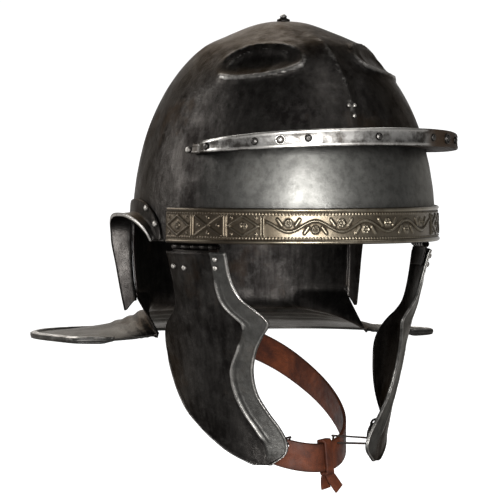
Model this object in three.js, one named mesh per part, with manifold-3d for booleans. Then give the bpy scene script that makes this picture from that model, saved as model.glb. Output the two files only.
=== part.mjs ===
// A legionary's iron helmet with a brass brow band, in millimetres.
// X runs across the head and +X is the wearer's left, -Y is the front, and +Z is up.
// Heights are counted from the brow rim. Angles run from the front towards the wearer's right.
// The finished helmet is lowered so that the origin is the top of the inside of the crown.
import * as THREE from "three";
import Module from "manifold-3d";
import { mergeVertices } from "three/addons/utils/BufferGeometryUtils.js";

const wasm = await Module();
wasm.setup();

const { degToRad: rad, lerp, smoothstep, clamp } = THREE.MathUtils;

// Driving dimensions, in millimetres, with angles in degrees
const gap = 0.4;
const bowl = { halfWidth: 102.5, halfLength: 116, height: 152, wall: 1.6, rim: 0.8 };
const dome = { fullness: 2.2, pinch: 0.17, pinchFrom: 0.88, pinchTo: 0.975 };
const eyebrow = { halfLength: 29, halfDepth: 14.5, sink: 2.6, ridge: 2 };
const eyebrowPlace = { angle: 46, height: 125.5, tiltAngle: 10 };
const eyebrowShare = { floor: 0.35, crest: 1.15, crestWidth: 0.3, upperRidge: 0.25 };
const keel = { bottom: 70, top: 147, halfWidth: 8, rise: 1.1, footRun: 20, tipRun: 12 };
const ear = { frontAngle: 86, rearAngle: 122, top: 19, frontSquareness: 1.75, rearSquareness: 3.2 };
const nape = { depth: 44, tuck: 4 };
const neckGuard = { halfWidth: 145, reach: 185, sideAt: 45, frontRun: 18, fall: 24, squareness: 3 };
const guardFront = { x: 82, y: 31, reach: 0.45, dip: 0.85, startAngle: 50 };
const bead = { halfThickness: 2.5, width: 5.5, wrap: 0.85 };
const finial = { radius: 4.5, height: 4.6 };
const brow = { standOff: 28, wall: 2, seat: 2.8, height: 12, middle: 73, endFall: 8.5, taper: 0.4 };
const browArc = { endAngle: 64, tabAngle: 5 };
const browRivet = { angle: 72.6, above: 63.5 };
const stud = { radius: 2.6, height: 1.7, boss: 3.6 };
const band = { endAngle: 80, height: 24.5, wall: 1.3, relief: 1.3, motifs: 14 };
const earGuard = { wall: 1.6, foot: 10, depth: 14.8, least: 3, bend: 2, lean: 1.6, sag: 5.5, stop: 0.99 };
const earRoll = { halfThickness: 1.3, heel: 0.7, below: 1, above: 0.8 };
const cheek = { top: 5.8, height: 146.5, wall: 1.6, inset: 4, bottomRadius: 69, taper: 1.45, relief: 1.4 };
const cheekLine = { border: 0.55, ridge: 0.8, field: 0.35, rear: 0.75 };
const hinge = { drop: 2.6, radius: 2.2, pin: 1.1, pinProud: 0.8, leaf: 1.2, knuckles: 5, reach: 14 };
const hingeLap = { upper: 2, lower: 1.5, root: 0.8, foot: 3 };
const hingeArc = { fromAngle: 58, toAngle: 81 };
const rivet = { radius: 2.3, height: 1.4, small: 1.95 };
const keelRivet = { radius: 1.5, height: 1 };
const strap = { width: 20, thickness: 2.4 };
const strapLoop = { halfWidth: 50, throat: -48, back: 116, backDrop: 70, aboveTip: 3.3 };
const tie = { angle: 35, aboveTip: 25.3, ring: 6, wire: 0.9, staple: 3.6, stapleWire: 0.81, slack: 0.2 };
const thong = { wire: 0.75, hole: 2.1, holeEdge: 4, angle: 25 };
const knot = { angle: 9, length: 9, wall: 2.2, ease: 0.9 };
const tail = { length: 14, width: 8, wall: 1.6, apart: 0.9, lean: 0.45, spread: 0.3, outward: 0.12 };
const staple = { wall: 1.6, width: 12, ease: 0.8, foot: 4 };

// Where the studs and rivets stand: angles, and heights above the rim or drops below it
const studAngles = [-57, -39, -22.5, 0, 22.5, 39, 57];
const bossAngle = 31;
const keelRivets = [
  { angle: -1.5, height: 93 },
  { angle: 1.5, height: 93 },
  { angle: 0, height: 86 },
];
const earRivets = [
  { angle: 93, height: 23 },
  { angle: 86, height: 12.5 },
];
const cheekRivets = [
  { angle: 58.5, drop: 10.5 },
  { angle: 58.5, drop: 16.5 },
  { angle: 74, drop: 17 },
  { angle: 80, drop: 16 },
];

// How far out and how far down the neck guard lies, as shares of its run and of its fall
const guardProfile = [
  { out: 0.02, down: 0.14 },
  { out: 0.07, down: 0.28 },
  { out: 0.12, down: 0.31 },
  { out: 0.17, down: 0.44 },
  { out: 0.22, down: 0.47 },
  { out: 0.28, down: 0.58 },
  { out: 0.33, down: 0.6 },
  { out: 0.4, down: 0.7 },
  { out: 0.66, down: 0.86 },
  { out: 0.9, down: 0.97 },
];

// The angles of a cheek guard's front edge, inner ridge and rear edge, by share of its height
const cheekOutline = [
  { down: 0, frontAngle: 54, ridgeAngle: 61, rearAngle: 84 },
  { down: 0.128, frontAngle: 52, ridgeAngle: 59.6, rearAngle: 82.8 },
  { down: 0.215, frontAngle: 47.8, ridgeAngle: 58, rearAngle: 82.8 },
  { down: 0.265, frontAngle: 42, ridgeAngle: 55, rearAngle: 84.5 },
  { down: 0.308, frontAngle: 36.8, ridgeAngle: 50.5, rearAngle: 89 },
  { down: 0.338, frontAngle: 35.4, ridgeAngle: 47.5, rearAngle: 93.5 },
  { down: 0.39, frontAngle: 38, ridgeAngle: 48, rearAngle: 98.5 },
  { down: 0.462, frontAngle: 41, ridgeAngle: 50.5, rearAngle: 101.5 },
  { down: 0.562, frontAngle: 42.6, ridgeAngle: 54.2, rearAngle: 100.5 },
  { down: 0.663, frontAngle: 40.6, ridgeAngle: 52.8, rearAngle: 97 },
  { down: 0.749, frontAngle: 35.2, ridgeAngle: 48.8, rearAngle: 90.5 },
  { down: 0.83, frontAngle: 28.8, ridgeAngle: 43, rearAngle: 79.5 },
  { down: 0.896, frontAngle: 25.4, ridgeAngle: 38.5, rearAngle: 69 },
  { down: 0.95, frontAngle: 26.6, ridgeAngle: 37, rearAngle: 59 },
  { down: 1, frontAngle: 35, ridgeAngle: 39, rearAngle: 46 },
];

// How far an ear guard's flange stands out and sags and how wide its foot is, as shares of its sizes
const earFlange = [
  { along: 0, depth: 0.3, foot: 0.5, sag: 0 },
  { along: 0.15, depth: 0.5, foot: 1, sag: 0 },
  { along: 0.3, depth: 0.78, foot: 1, sag: 0 },
  { along: 0.47, depth: 1, foot: 0.9, sag: 0 },
  { along: 0.6, depth: 0.95, foot: 0.7, sag: 0.05 },
  { along: 0.75, depth: 0.75, foot: 0.65, sag: 0.35 },
  { along: 1, depth: 0.55, foot: 0.6, sag: 1 },
];

const material = (color, metalness, roughness) =>
  new THREE.MeshStandardMaterial({ color, metalness, roughness });
const iron = material(0x3a3836, 1, 0.38);
const brightIron = material(0xa8a49c, 1, 0.3);
const brass = material(0x8a7450, 1, 0.42);
const leather = material(0x5a2413, 0, 0.6);
const darkLeather = material(0x20130f, 0, 0.65);

// A row of a table at a place between its rows, on smooth curves through them
function follow(table, key, at) {
  const last = table.length - 1;
  let i = 0;
  while (i < last - 1 && at > table[i + 1][key]) i++;
  const [a, b] = [table[i], table[i + 1]];
  const before = table[Math.max(i - 1, 0)];
  const after = table[Math.min(i + 2, last)];
  const span = b[key] - a[key];
  const t = clamp((at - a[key]) / span, 0, 1);
  const row = {};
  for (const name of Object.keys(a)) {
    const leave = ((b[name] - before[name]) / (b[key] - before[key])) * span;
    const arrive = ((after[name] - a[name]) / (after[key] - a[key])) * span;
    const change = b[name] - a[name];
    const curve = 3 * change - 2 * leave - arrive;
    row[name] = a[name] + leave * t + curve * t ** 2 + (change - leave - curve) * t ** 3;
  }
  return row;
}

// A curved plate: a net of points, each with how far its outer and inner faces lie from it
class Plate {
  points = [];
  outer = [];
  inner = [];
  faces = [];

  add(point, outer, inner) {
    this.points.push(point);
    this.outer.push(outer);
    this.inner.push(inner);
    return this.points.length - 1;
  }

  // Rows run down and columns run to the right, as seen from the outer side
  weave(rows) {
    for (let r = 1; r < rows.length; r++)
      for (let c = 1; c < rows[r].length; c++) {
        const [a, b] = [rows[r - 1][c - 1], rows[r - 1][c]];
        const [d, e] = [rows[r][c - 1], rows[r][c]];
        this.faces.push([a, d, e], [a, e, b]);
      }
    return this;
  }

  normals() {
    const sums = this.points.map(() => new THREE.Vector3());
    for (const face of this.faces) {
      const [a, b, c] = face.map((i) => this.points[i]);
      const area = b.clone().sub(a).cross(c.clone().sub(a));
      for (const i of face) sums[i].add(area);
    }
    return sums.map((sum) => sum.normalize());
  }

  solid() {
    const normals = this.normals();
    const count = this.points.length;
    const outside = this.points.map((p, i) => p.clone().addScaledVector(normals[i], this.outer[i]));
    const inside = this.points.map((p, i) => p.clone().addScaledVector(normals[i], -this.inner[i]));
    const edges = new Set(this.faces.flatMap(([a, b, c]) => [a + "," + b, b + "," + c, c + "," + a]));
    const triangles = [];
    for (const [a, b, c] of this.faces) {
      triangles.push(a, b, c, c + count, b + count, a + count);
      for (const [i, j] of [[a, b], [b, c], [c, a]])
        if (!edges.has(j + "," + i)) triangles.push(j, i, i + count, j, i + count, j + count);
    }
    return new THREE.BufferGeometry().setFromPoints([...outside, ...inside]).setIndex(triangles);
  }
}

// A plate from a function of two shares, 0 to 1, that gives a point and its two face distances
function plateFrom(rowCount, columnCount, place) {
  const plate = new Plate();
  const rows = [];
  for (let r = 0; r <= rowCount; r++) {
    rows.push([]);
    for (let c = 0; c <= columnCount; c++) {
      const { point, outer, inner } = place(r / rowCount, c / columnCount, r, c);
      rows[r].push(plate.add(point, outer, inner));
    }
  }
  return plate.weave(rows).solid();
}

function toSolid(geometry) {
  const bare = new THREE.BufferGeometry();
  bare.setAttribute("position", geometry.getAttribute("position"));
  bare.setIndex(geometry.index);
  const merged = mergeVertices(bare, 1e-4);
  const vertProperties = merged.getAttribute("position").array;
  const triVerts = new Uint32Array(merged.index.array);
  return new wasm.Manifold(new wasm.Mesh({ numProp: 3, vertProperties, triVerts }));
}

function toGeometry(solid) {
  const mesh = solid.getMesh();
  const positions = new THREE.BufferAttribute(mesh.vertProperties, 3);
  const index = new THREE.BufferAttribute(mesh.triVerts, 1);
  return new THREE.BufferGeometry().setAttribute("position", positions).setIndex(index);
}

function mirrored(geometry) {
  const copy = geometry.clone().scale(-1, 1, 1);
  const index = copy.index.array;
  for (let i = 0; i < index.length; i += 3) [index[i], index[i + 1]] = [index[i + 1], index[i]];
  return copy;
}

// A geometry modelled about the origin with its own +Y along the given direction
function aimed(geometry, point, direction) {
  const turn = new THREE.Quaternion().setFromUnitVectors(new THREE.Vector3(0, 1, 0), direction);
  return geometry.clone().applyQuaternion(turn).translate(point.x, point.y, point.z);
}

// The skull's radius at a height, as a share of its radius at the rim
function skullShare(z) {
  if (z < 0) return 1 - (nape.tuck / bowl.halfLength) * (z / nape.depth) ** 2;
  const t = Math.min(z / bowl.height, 1);
  const round = (1 - t ** dome.fullness) ** (1 / dome.fullness);
  return round * (1 - dome.pinch * smoothstep(t, dome.pinchFrom, dome.pinchTo));
}

function skullNormal(angle, z) {
  const step = 0.5;
  const slope = (skullShare(z + step) - skullShare(z - step)) / (2 * step);
  const across = -Math.sin(angle) / bowl.halfWidth;
  const along = -Math.cos(angle) / bowl.halfLength;
  return new THREE.Vector3(across, along, -slope).normalize();
}

function onSkull(angle, z, out = 0) {
  const share = skullShare(z);
  const x = -bowl.halfWidth * share * Math.sin(angle);
  const y = -bowl.halfLength * share * Math.cos(angle);
  return new THREE.Vector3(x, y, z).addScaledVector(skullNormal(angle, z), out);
}

function skullAngle(point) {
  return Math.atan2(-point.x / bowl.halfWidth, -point.y / bowl.halfLength);
}

// How far the embossed eyebrows and keel stand out of the skull; what is sunk is negative
function skullRelief(angle, z) {
  const centreAngle = rad(eyebrowPlace.angle);
  const centre = onSkull(centreAngle, eyebrowPlace.height);
  const outward = skullNormal(centreAngle, eyebrowPlace.height);
  const across = new THREE.Vector3(0, 0, 1).cross(outward).normalize().negate();
  const up = outward.clone().cross(across).negate();
  const away = onSkull(Math.abs(angle), z).sub(centre);
  const [a, u, tilt] = [away.dot(across), away.dot(up), rad(eyebrowPlace.tiltAngle)];
  const long = (a * Math.cos(tilt) - u * Math.sin(tilt)) / eyebrow.halfLength;
  const short = (a * Math.sin(tilt) + u * Math.cos(tilt)) / eyebrow.halfDepth;
  const reach = Math.hypot(long, short);
  const { floor, crest, crestWidth, upperRidge } = eyebrowShare;
  const hollow = -eyebrow.sink * (1 - smoothstep(reach, floor, 1));
  const lower = lerp(upperRidge, 1, smoothstep(-short, -0.3, 0.5));
  const ridge = eyebrow.ridge * lower * Math.exp(-(((reach - crest) / crestWidth) ** 2));
  const side = (angle * bowl.halfWidth * skullShare(z)) / keel.halfWidth;
  const foot = smoothstep(z, keel.bottom, keel.bottom + keel.footRun);
  const tip = 1 - smoothstep(z, keel.top - keel.tipRun, keel.top);
  return hollow + ridge + keel.rise * foot * tip * Math.exp(-(side ** 2));
}

// The arch of the ear opening in the skull, from its front foot (0) to its rear foot (1)
function earArch(share) {
  const turn = Math.PI * (1 - share);
  const power = 2 / (share < 0.5 ? ear.frontSquareness : ear.rearSquareness);
  const across = Math.sign(Math.cos(turn)) * Math.abs(Math.cos(turn)) ** power;
  const rise = Math.max(Math.sin(turn), 0) ** power;
  const along = (1 + across) / 2;
  const angle = rad(lerp(ear.frontAngle, ear.rearAngle, along));
  return { angle, z: lerp(bowl.rim, 0, along) * (1 - rise) + ear.top * rise };
}

// The angle and lowest height of each column of the skull, round the whole head
function skullColumns() {
  const [frontCount, archCount, rearCount] = [12, 6, 9];
  const half = [];
  const at = (degrees, z) => ({ angle: rad(degrees), z });
  for (let i = 0; i < frontCount; i++) half.push(at((ear.frontAngle * i) / frontCount, bowl.rim));
  for (let i = 0; i < archCount; i++) half.push(earArch(i / archCount));
  for (let i = 0; i <= rearCount; i++) half.push(at(lerp(ear.rearAngle, 180, i / rearCount), 0));
  const other = half.slice(1, -1).map(({ angle, z }) => ({ angle: -angle, z }));
  return [...half.reverse(), ...other];
}

// The neck guard's outline: a squarish half round with a short rounded front
function guardEdge(share) {
  const turn = rad(lerp(guardFront.startAngle, 180, share));
  const power = 2 / neckGuard.squareness;
  const side = Math.sin(turn) ** power;
  const ahead = Math.sign(Math.cos(turn)) * Math.abs(Math.cos(turn)) ** power;
  const run = ahead > 0 ? neckGuard.frontRun : neckGuard.reach - neckGuard.sideAt;
  return new THREE.Vector3(-neckGuard.halfWidth * side, neckGuard.sideAt - run * ahead, 0);
}

// The nape and neck guard below one column of the skull, from the top down and out
function napeRun(angle) {
  const side = Math.sign(angle) || 1;
  const share = (Math.abs(angle) - rad(ear.rearAngle)) / (Math.PI - rad(ear.rearAngle));
  const forward = 1 - smoothstep(share, 0, guardFront.reach);
  const corner = new THREE.Vector3(-guardFront.x * side, guardFront.y, -nape.depth);
  const root = onSkull(angle, -nape.depth).lerp(corner, forward);
  const edge = guardEdge(share).multiply(new THREE.Vector3(side, 1, 1));
  const run = Math.hypot(edge.x - root.x, edge.y - root.y);
  const at = (out, down) => {
    const fallen = lerp(down, 1, forward * guardFront.dip);
    return root.clone().lerp(edge, out).setZ(-nape.depth - neckGuard.fall * fallen);
  };
  const plain = (point) => ({ point, extra: 0 });
  const wall = [0.35, 0.7, 1].map((down) => plain(onSkull(angle, -nape.depth * down)));
  const slope = guardProfile.map(({ out, down }) => plain(at(out, down)));
  const roll = [1, 0.8, 0.5, 0.15, 0].map((back) => {
    const out = 1 - (bead.width * back) / run;
    const bulge = Math.sin(Math.PI * Math.sqrt(1 - back) * bead.wrap);
    const extra = (bead.halfThickness - bowl.wall / 2) * bulge;
    return { point: at(out, lerp(1, guardProfile.at(-1).down, back)), extra };
  });
  return [...wall, ...slope, ...roll];
}

function makeBowl() {
  const rowCount = 12;
  const plate = new Plate();
  const columns = skullColumns();
  const add = (point, relief) => plate.add(point, relief, bowl.wall - relief);
  const crown = add(new THREE.Vector3(0, 0, bowl.height), 0);
  const rows = [];
  for (let r = 1; r <= rowCount; r++) {
    const row = columns.map(({ angle, z }) => {
      const lowest = Math.asin((Math.max(z, 0) / bowl.height) ** (dome.fullness / 2));
      const turn = lerp(Math.PI / 2, lowest, r / rowCount);
      const height = r === rowCount ? z : bowl.height * Math.sin(turn) ** (2 / dome.fullness);
      return add(onSkull(angle, height), skullRelief(angle, height));
    });
    rows.push([...row, row[0]]);
  }
  plate.weave([rows[0].map(() => crown), ...rows]);
  plate.faces = plate.faces.filter((face) => new Set(face).size === 3);
  // The nape hangs from the skull's lowest row behind the ears
  const rear = [];
  const low = rows[rowCount - 1];
  columns.forEach(({ angle }, i) => {
    if (Math.abs(angle) < rad(ear.rearAngle) - 1e-6) return;
    const run = napeRun(angle).map(({ point, extra }) => plate.add(point, extra, bowl.wall + extra));
    rear.push({ angle, run: [low[i], ...run] });
  });
  const order = (angle) => (angle > 0 ? angle - Math.PI * 2 : angle);
  rear.sort((a, b) => order(b.angle) - order(a.angle));
  const depth = rear[0].run.length;
  plate.weave(Array.from({ length: depth }, (_, r) => rear.map(({ run }) => run[r])));
  return plate.solid();
}

function makeFinial() {
  const outline = [[0, 0], [1, 0], [0.95, 0.2], [0.5, 0.38], [0.55, 0.6], [0.3, 0.82], [0, 1]];
  const points = outline.map(([r, h]) => new THREE.Vector2(r * finial.radius, h * finial.height));
  return new THREE.LatheGeometry(points, 12).rotateX(Math.PI / 2).translate(0, 0, bowl.height + gap);
}

// A domed rivet head that sits its gap above a surface point
function rivetHead(point, outward, radius, height, sides = 7) {
  const outline = [[0, 0], [1, 0], [0.75, 0.75], [0, 1]];
  const points = outline.map(([r, h]) => new THREE.Vector2(r * radius, h * height));
  const seat = point.clone().addScaledVector(outward, gap);
  return aimed(new THREE.LatheGeometry(points, sides), seat, outward);
}

function skullRivet(angle, z, { radius, height }, cover = 0) {
  const seat = onSkull(rad(angle), z, skullRelief(rad(angle), z) + cover);
  return rivetHead(seat, skullNormal(rad(angle), z), radius, height);
}

// The brow guard at an angle: how much of its stand-off is left and its lowest height
function browAt(degrees) {
  const share = Math.min(Math.abs(degrees) / browArc.endAngle, 1);
  const tall = brow.height * (1 - brow.taper * share ** 3);
  const lowest = brow.middle - tall / 2 - brow.endFall * share ** 2;
  return { open: Math.sqrt(1 - share ** 4), lowest, tall };
}

function browPoint(degrees, out, z, reference) {
  const angle = rad(degrees);
  const flat = skullNormal(angle, reference).setZ(0).normalize();
  return onSkull(angle, reference).addScaledVector(flat, out).setZ(z);
}

// The outer face of the brow guard, at a share of its height
function browFace(degrees, up, out = 0) {
  const { open, lowest, tall } = browAt(degrees);
  const z = lowest + tall * up;
  const seated = gap + brow.seat;
  return browPoint(degrees, lerp(seated, brow.standOff, open) + out, z, lerp(z, lowest, open));
}

function makeBrowGuard() {
  const sections = 32;
  const last = browArc.endAngle + browArc.tabAngle;
  const ring = [];
  for (let i = 0; i <= sections; i++) {
    const degrees = lerp(last, -last, i / sections);
    const { lowest, tall } = browAt(degrees);
    const shelf = lowest + brow.wall;
    const inner = (z) => browPoint(degrees, gap, z, z);
    ring.push([
      browFace(degrees, 0),
      browFace(degrees, 1),
      browFace(degrees, 1, -brow.wall),
      browFace(degrees, brow.wall / tall, -brow.wall),
      inner(shelf),
      inner(lowest),
    ]);
  }
  return loft(ring);
}

// A closed solid through sections that have equal numbers of points, with flat fans at both ends
function loft(ring) {
  const size = ring[0].length;
  const triangles = [];
  for (let s = 1; s < ring.length; s++)
    for (let k = 0; k < size; k++) {
      const [a, b] = [(s - 1) * size + k, (s - 1) * size + ((k + 1) % size)];
      triangles.push(a, a + size, b + size, a, b + size, b);
    }
  const flat = sectionShape(ring[0]);
  const cap = THREE.ShapeUtils.triangulateShape(flat, []);
  const runsOn = cap.some((face) => face.some((k, i) => k === 0 && face[(i + 1) % 3] === 1));
  const tail = (ring.length - 1) * size;
  for (const face of cap) {
    const [a, b, c] = runsOn ? face : [...face].reverse();
    triangles.push(a, b, c, tail + a, tail + c, tail + b);
  }
  const geometry = new THREE.BufferGeometry().setFromPoints(ring.flat()).setIndex(triangles);
  return facingOut(geometry);
}

// A section's points in the flat, by their run along its own width and their height
function sectionShape(points) {
  const [first, far] = [points[0], points[4]];
  const along = far.clone().sub(first).setZ(0).normalize();
  return points.map((p) => new THREE.Vector2(p.clone().sub(first).dot(along), p.z));
}

// The same solid with its triangles turned so that its volume is positive
function facingOut(geometry) {
  const position = geometry.getAttribute("position");
  const index = geometry.index.array;
  const corner = (i) => new THREE.Vector3().fromBufferAttribute(position, index[i]);
  let volume = 0;
  for (let i = 0; i < index.length; i += 3) volume += corner(i).dot(corner(i + 1).cross(corner(i + 2)));
  if (volume < 0)
    for (let i = 0; i < index.length; i += 3) [index[i], index[i + 1]] = [index[i + 1], index[i]];
  return geometry;
}

function browStud(degrees, radius) {
  const outward = skullNormal(rad(degrees), brow.middle).setZ(0).normalize();
  const near = browFace(degrees + 1, 0.5);
  const tangent = near.sub(browFace(degrees - 1, 0.5)).setZ(0).normalize();
  const square = new THREE.Vector3(tangent.y, -tangent.x, 0);
  if (square.dot(outward) < 0) square.negate();
  return rivetHead(browFace(degrees, 0.5), square, radius, stud.height, 10);
}

// The raised work of the brow band: two border beads and a row of lozenges between them
function makeBrowBand() {
  const steps = 4;
  const profile = [
    { up: 1, rise: 0.3, lozenge: 0 },
    { up: 0.93, rise: 1, lozenge: 0 },
    { up: 0.85, rise: 0.15, lozenge: 0 },
    { up: 0.5, rise: 0, lozenge: 0.85 },
    { up: 0.15, rise: 0.15, lozenge: 0 },
    { up: 0.07, rise: 1, lozenge: 0 },
    { up: 0, rise: 0.3, lozenge: 0 },
  ];
  return plateFrom(profile.length - 1, band.motifs * steps, (_, across, r, c) => {
    const { up, rise, lozenge } = profile[r];
    const z = band.height * up;
    const crest = c % steps === steps / 2 ? lozenge : 0;
    const point = onSkull(rad(lerp(band.endAngle, -band.endAngle, across)), z, gap);
    return { point, outer: band.wall + band.relief * (rise + crest), inner: 0 };
  });
}

// The edge of the ear opening, from its front foot over the arch (0.6) and down the nape (1)
function earEdge(along) {
  const arch = 0.6;
  if (along <= arch) return earArch(along / arch);
  return { angle: rad(ear.rearAngle), z: lerp(0, -nape.depth, (along - arch) / (1 - arch)) };
}

function makeEarGuard() {
  const half = earGuard.wall / 2;
  const seat = gap + half;
  const on = (point, out) => onSkull(skullAngle(point), point.z, out);
  const nudge = 0.012;
  return plateFrom(5, 16, (_, back, r) => {
    const along = earGuard.stop * (1 - back);
    const here = earEdge(along);
    const [before, after] = [earEdge(along - nudge), earEdge(along + nudge)];
    const point = onSkull(here.angle, here.z);
    const outward = skullNormal(here.angle, here.z);
    const run = onSkull(after.angle, after.z).sub(onSkull(before.angle, before.z)).normalize();
    const away = run.cross(outward).normalize();
    const { depth, foot, sag } = follow(earFlange, "along", along);
    const out = Math.max(earGuard.depth * depth, seat + earGuard.least);
    const step = (sideways, outwards) =>
      point.clone().addScaledVector(away, sideways).addScaledVector(outward, outwards);
    const places = [
      on(step(earGuard.foot * foot, 0), seat),
      on(step(earGuard.bend, 0), seat),
      step(earGuard.lean / 8, seat + earRoll.heel),
      step(-earGuard.lean / 2, lerp(seat, out, 0.5)),
      step(-earGuard.lean * 0.9, out - earRoll.below),
      step(-earGuard.lean, out + earRoll.above),
    ];
    const thick = r > 3 ? earRoll.halfThickness : half;
    const place = places[r];
    place.z -= earGuard.sag * sag * clamp((r - 2) / 2, 0, 1);
    return { point: place, outer: thick, inner: thick };
  });
}

// A cheek guard's surface: it narrows and rounds in from the brow rim to the chin
function cheekRadii(z) {
  const up = clamp(1 - (-cheek.top - z) / cheek.height, 0, 1.1);
  const across = lerp(cheek.bottomRadius, bowl.halfWidth - cheek.inset, up);
  const along = lerp(cheek.bottomRadius, bowl.halfLength - cheek.inset, up ** cheek.taper);
  return { across, along };
}

function onCheek(degrees, z, out = 0) {
  const [angle, step] = [rad(degrees), 0.5];
  const here = cheekRadii(z);
  const [above, below] = [cheekRadii(z + step), cheekRadii(z - step)];
  const place = ({ across, along }, height) =>
    new THREE.Vector3(-across * Math.sin(angle), -along * Math.cos(angle), height);
  const upward = place(above, z + step).sub(place(below, z - step));
  const round = new THREE.Vector3(-here.across * Math.cos(angle), here.along * Math.sin(angle), 0);
  const outward = upward.cross(round).normalize();
  if (outward.y * Math.cos(angle) > 0 && outward.x > 0) outward.negate();
  return { point: place(here, z).addScaledVector(outward, out), outward };
}

// The places across a cheek guard, front to rear, with how far the raised work stands out there
function cheekRow(down) {
  const { frontAngle: front, ridgeAngle: ridge, rearAngle: rear } = follow(cheekOutline, "down", down);
  const width = rear - front;
  const edge = Math.min(2, width * 0.1);
  const middle = (front + ridge) / 2;
  const upper = smoothstep(down, 0.07, 0.13) * (1 - smoothstep(down, 0.34, 0.39));
  const lower = smoothstep(down, 0.43, 0.47) * (1 - smoothstep(down, 0.84, 0.9));
  const drawn = Math.max(upper, lower);
  const border = cheekLine.border * (1 - smoothstep(down, 0.9, 0.97));
  const field = Math.min(ridge + edge * 1.4, rear - edge * 2.5);
  const inner = (share) => lerp(field, rear - edge * 2.2, share);
  return [
    { at: front, rise: 1 },
    { at: front + edge, rise: border },
    { at: middle, rise: border },
    { at: ridge, rise: border + cheekLine.ridge * drawn },
    { at: field, rise: 0 },
    { at: inner(0.3), rise: cheekLine.field },
    { at: inner(0.65), rise: cheekLine.field },
    { at: inner(1), rise: 0 },
    { at: rear - edge * 0.9, rise: cheekLine.rear },
    { at: rear, rise: cheekLine.rear },
  ];
}

function makeCheekGuard() {
  const rowCount = 17;
  const columns = cheekRow(0).length - 1;
  return plateFrom(rowCount, columns, (down, _, r, c) => {
    const { at, rise } = cheekRow(down)[columns - c];
    const { point } = onCheek(at, -cheek.top - cheek.height * down);
    return { point, outer: cheek.relief * rise, inner: cheek.wall - cheek.relief * rise };
  });
}

// The straight line of a hinge, from its front end (0) to its rear end (1)
function hingeLine(share) {
  const inset = -(cheek.wall + gap + hinge.leaf / 2);
  const end = (degrees) => onCheek(degrees, -cheek.top, inset).point.setZ(-hinge.drop);
  return end(hingeArc.fromAngle).lerp(end(hingeArc.toAngle), share);
}

function hingeCylinder(from, to, radius) {
  const [start, end] = [hingeLine(from), hingeLine(to)];
  const length = start.distanceTo(end);
  const middle = start.clone().lerp(end, 0.5);
  const direction = end.sub(start).normalize();
  return toSolid(aimed(new THREE.CylinderGeometry(radius, radius, length, 8), middle, direction));
}

// A leaf runs from the hinge line to the inside of the skull (up 1) or of the cheek guard (up -1)
function hingeLeaf(up) {
  const half = hinge.leaf / 2;
  const degreesAt = (share) => lerp(hingeArc.fromAngle, hingeArc.toAngle, share);
  const [rim, rise] = up > 0 ? [bowl.rim, hingeLap.upper] : [-cheek.top, hingeLap.lower];
  const edge = rim + up * rise;
  return plateFrom(3, 4, (_, back, r) => {
    const share = 1 - back;
    const line = hingeLine(share);
    const near = line.clone().setZ(line.z + up * (hinge.radius - 0.4));
    const seated = (z) =>
      up > 0
        ? onSkull(rad(degreesAt(share)), z, -(bowl.wall + gap + half))
        : onCheek(degreesAt(share), z, -(cheek.wall + gap + half)).point;
    const first = line.setZ(line.z + up * hingeLap.root);
    const places = [first, near, seated(edge), seated(edge + up * (hinge.reach - hingeLap.foot))];
    return { point: places[r], outer: half, inner: half };
  });
}

function makeHinge() {
  const count = hinge.knuckles;
  const run = hingeLine(0).distanceTo(hingeLine(1));
  const [clear, proud] = [gap / run, hinge.pinProud / run];
  const turned = (i, spare, radius) => hingeCylinder(i / count - spare, (i + 1) / count + spare, radius);
  const knuckle = (i) => turned(i, -clear / 2, hinge.radius);
  const room = (i) => turned(i, clear / 2, hinge.radius + gap);
  const bore = hingeCylinder(-proud * 3, 1 + proud * 3, hinge.pin + gap);
  const side = (up, first) => {
    let solid = toSolid(facingOut(hingeLeaf(up)));
    for (let i = first; i < count; i += 2) solid = solid.add(knuckle(i));
    for (let i = 1 - first; i < count; i += 2) solid = solid.subtract(room(i));
    return toGeometry(solid.subtract(bore));
  };
  const pin = toGeometry(hingeCylinder(-proud, 1 + proud, hinge.pin));
  return { upper: side(1, 0), lower: side(-1, 1), pin };
}

// How far a cheek guard's raised work stands out at a place on it
function cheekRise(degrees, drop) {
  const row = cheekRow((drop - cheek.top) / cheek.height);
  const next = Math.max(1, row.findIndex(({ at }) => at > degrees));
  const [a, b] = [row[next - 1], row[next]];
  return cheek.relief * lerp(a.rise, b.rise, (degrees - a.at) / (b.at - a.at));
}

function cheekRivet(degrees, drop) {
  const { point, outward } = onCheek(degrees, -drop, cheekRise(degrees, drop));
  return rivetHead(point, outward, rivet.small, rivet.height);
}

// A tube along a closed or open run of points
function tube(points, radius, closed, sides = 8) {
  const path = new THREE.CatmullRomCurve3(points, closed, "centripetal");
  const circle = new THREE.Shape();
  for (let i = 0; i < sides; i++) {
    const turn = (2 * Math.PI * i) / sides;
    const [x, y] = [radius * Math.cos(turn), radius * Math.sin(turn)];
    if (i) circle.lineTo(x, y);
    else circle.moveTo(x, y);
  }
  const steps = Math.max(points.length - (closed ? 0 : 1), 2);
  return new THREE.ExtrudeGeometry(circle, { steps, extrudePath: path });
}

// A ring about a centre, in the plane of two directions
function ringPoints(centre, first, second, radius, count, from = 0, to = 2 * Math.PI) {
  const points = [];
  for (let i = 0; i < count; i++) {
    const turn = lerp(from, to, i / (to - from > 6.28 ? count : count - 1));
    const step = first.clone().multiplyScalar(Math.cos(turn) * radius);
    points.push(centre.clone().add(step).addScaledVector(second, Math.sin(turn) * radius));
  }
  return points;
}

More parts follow.
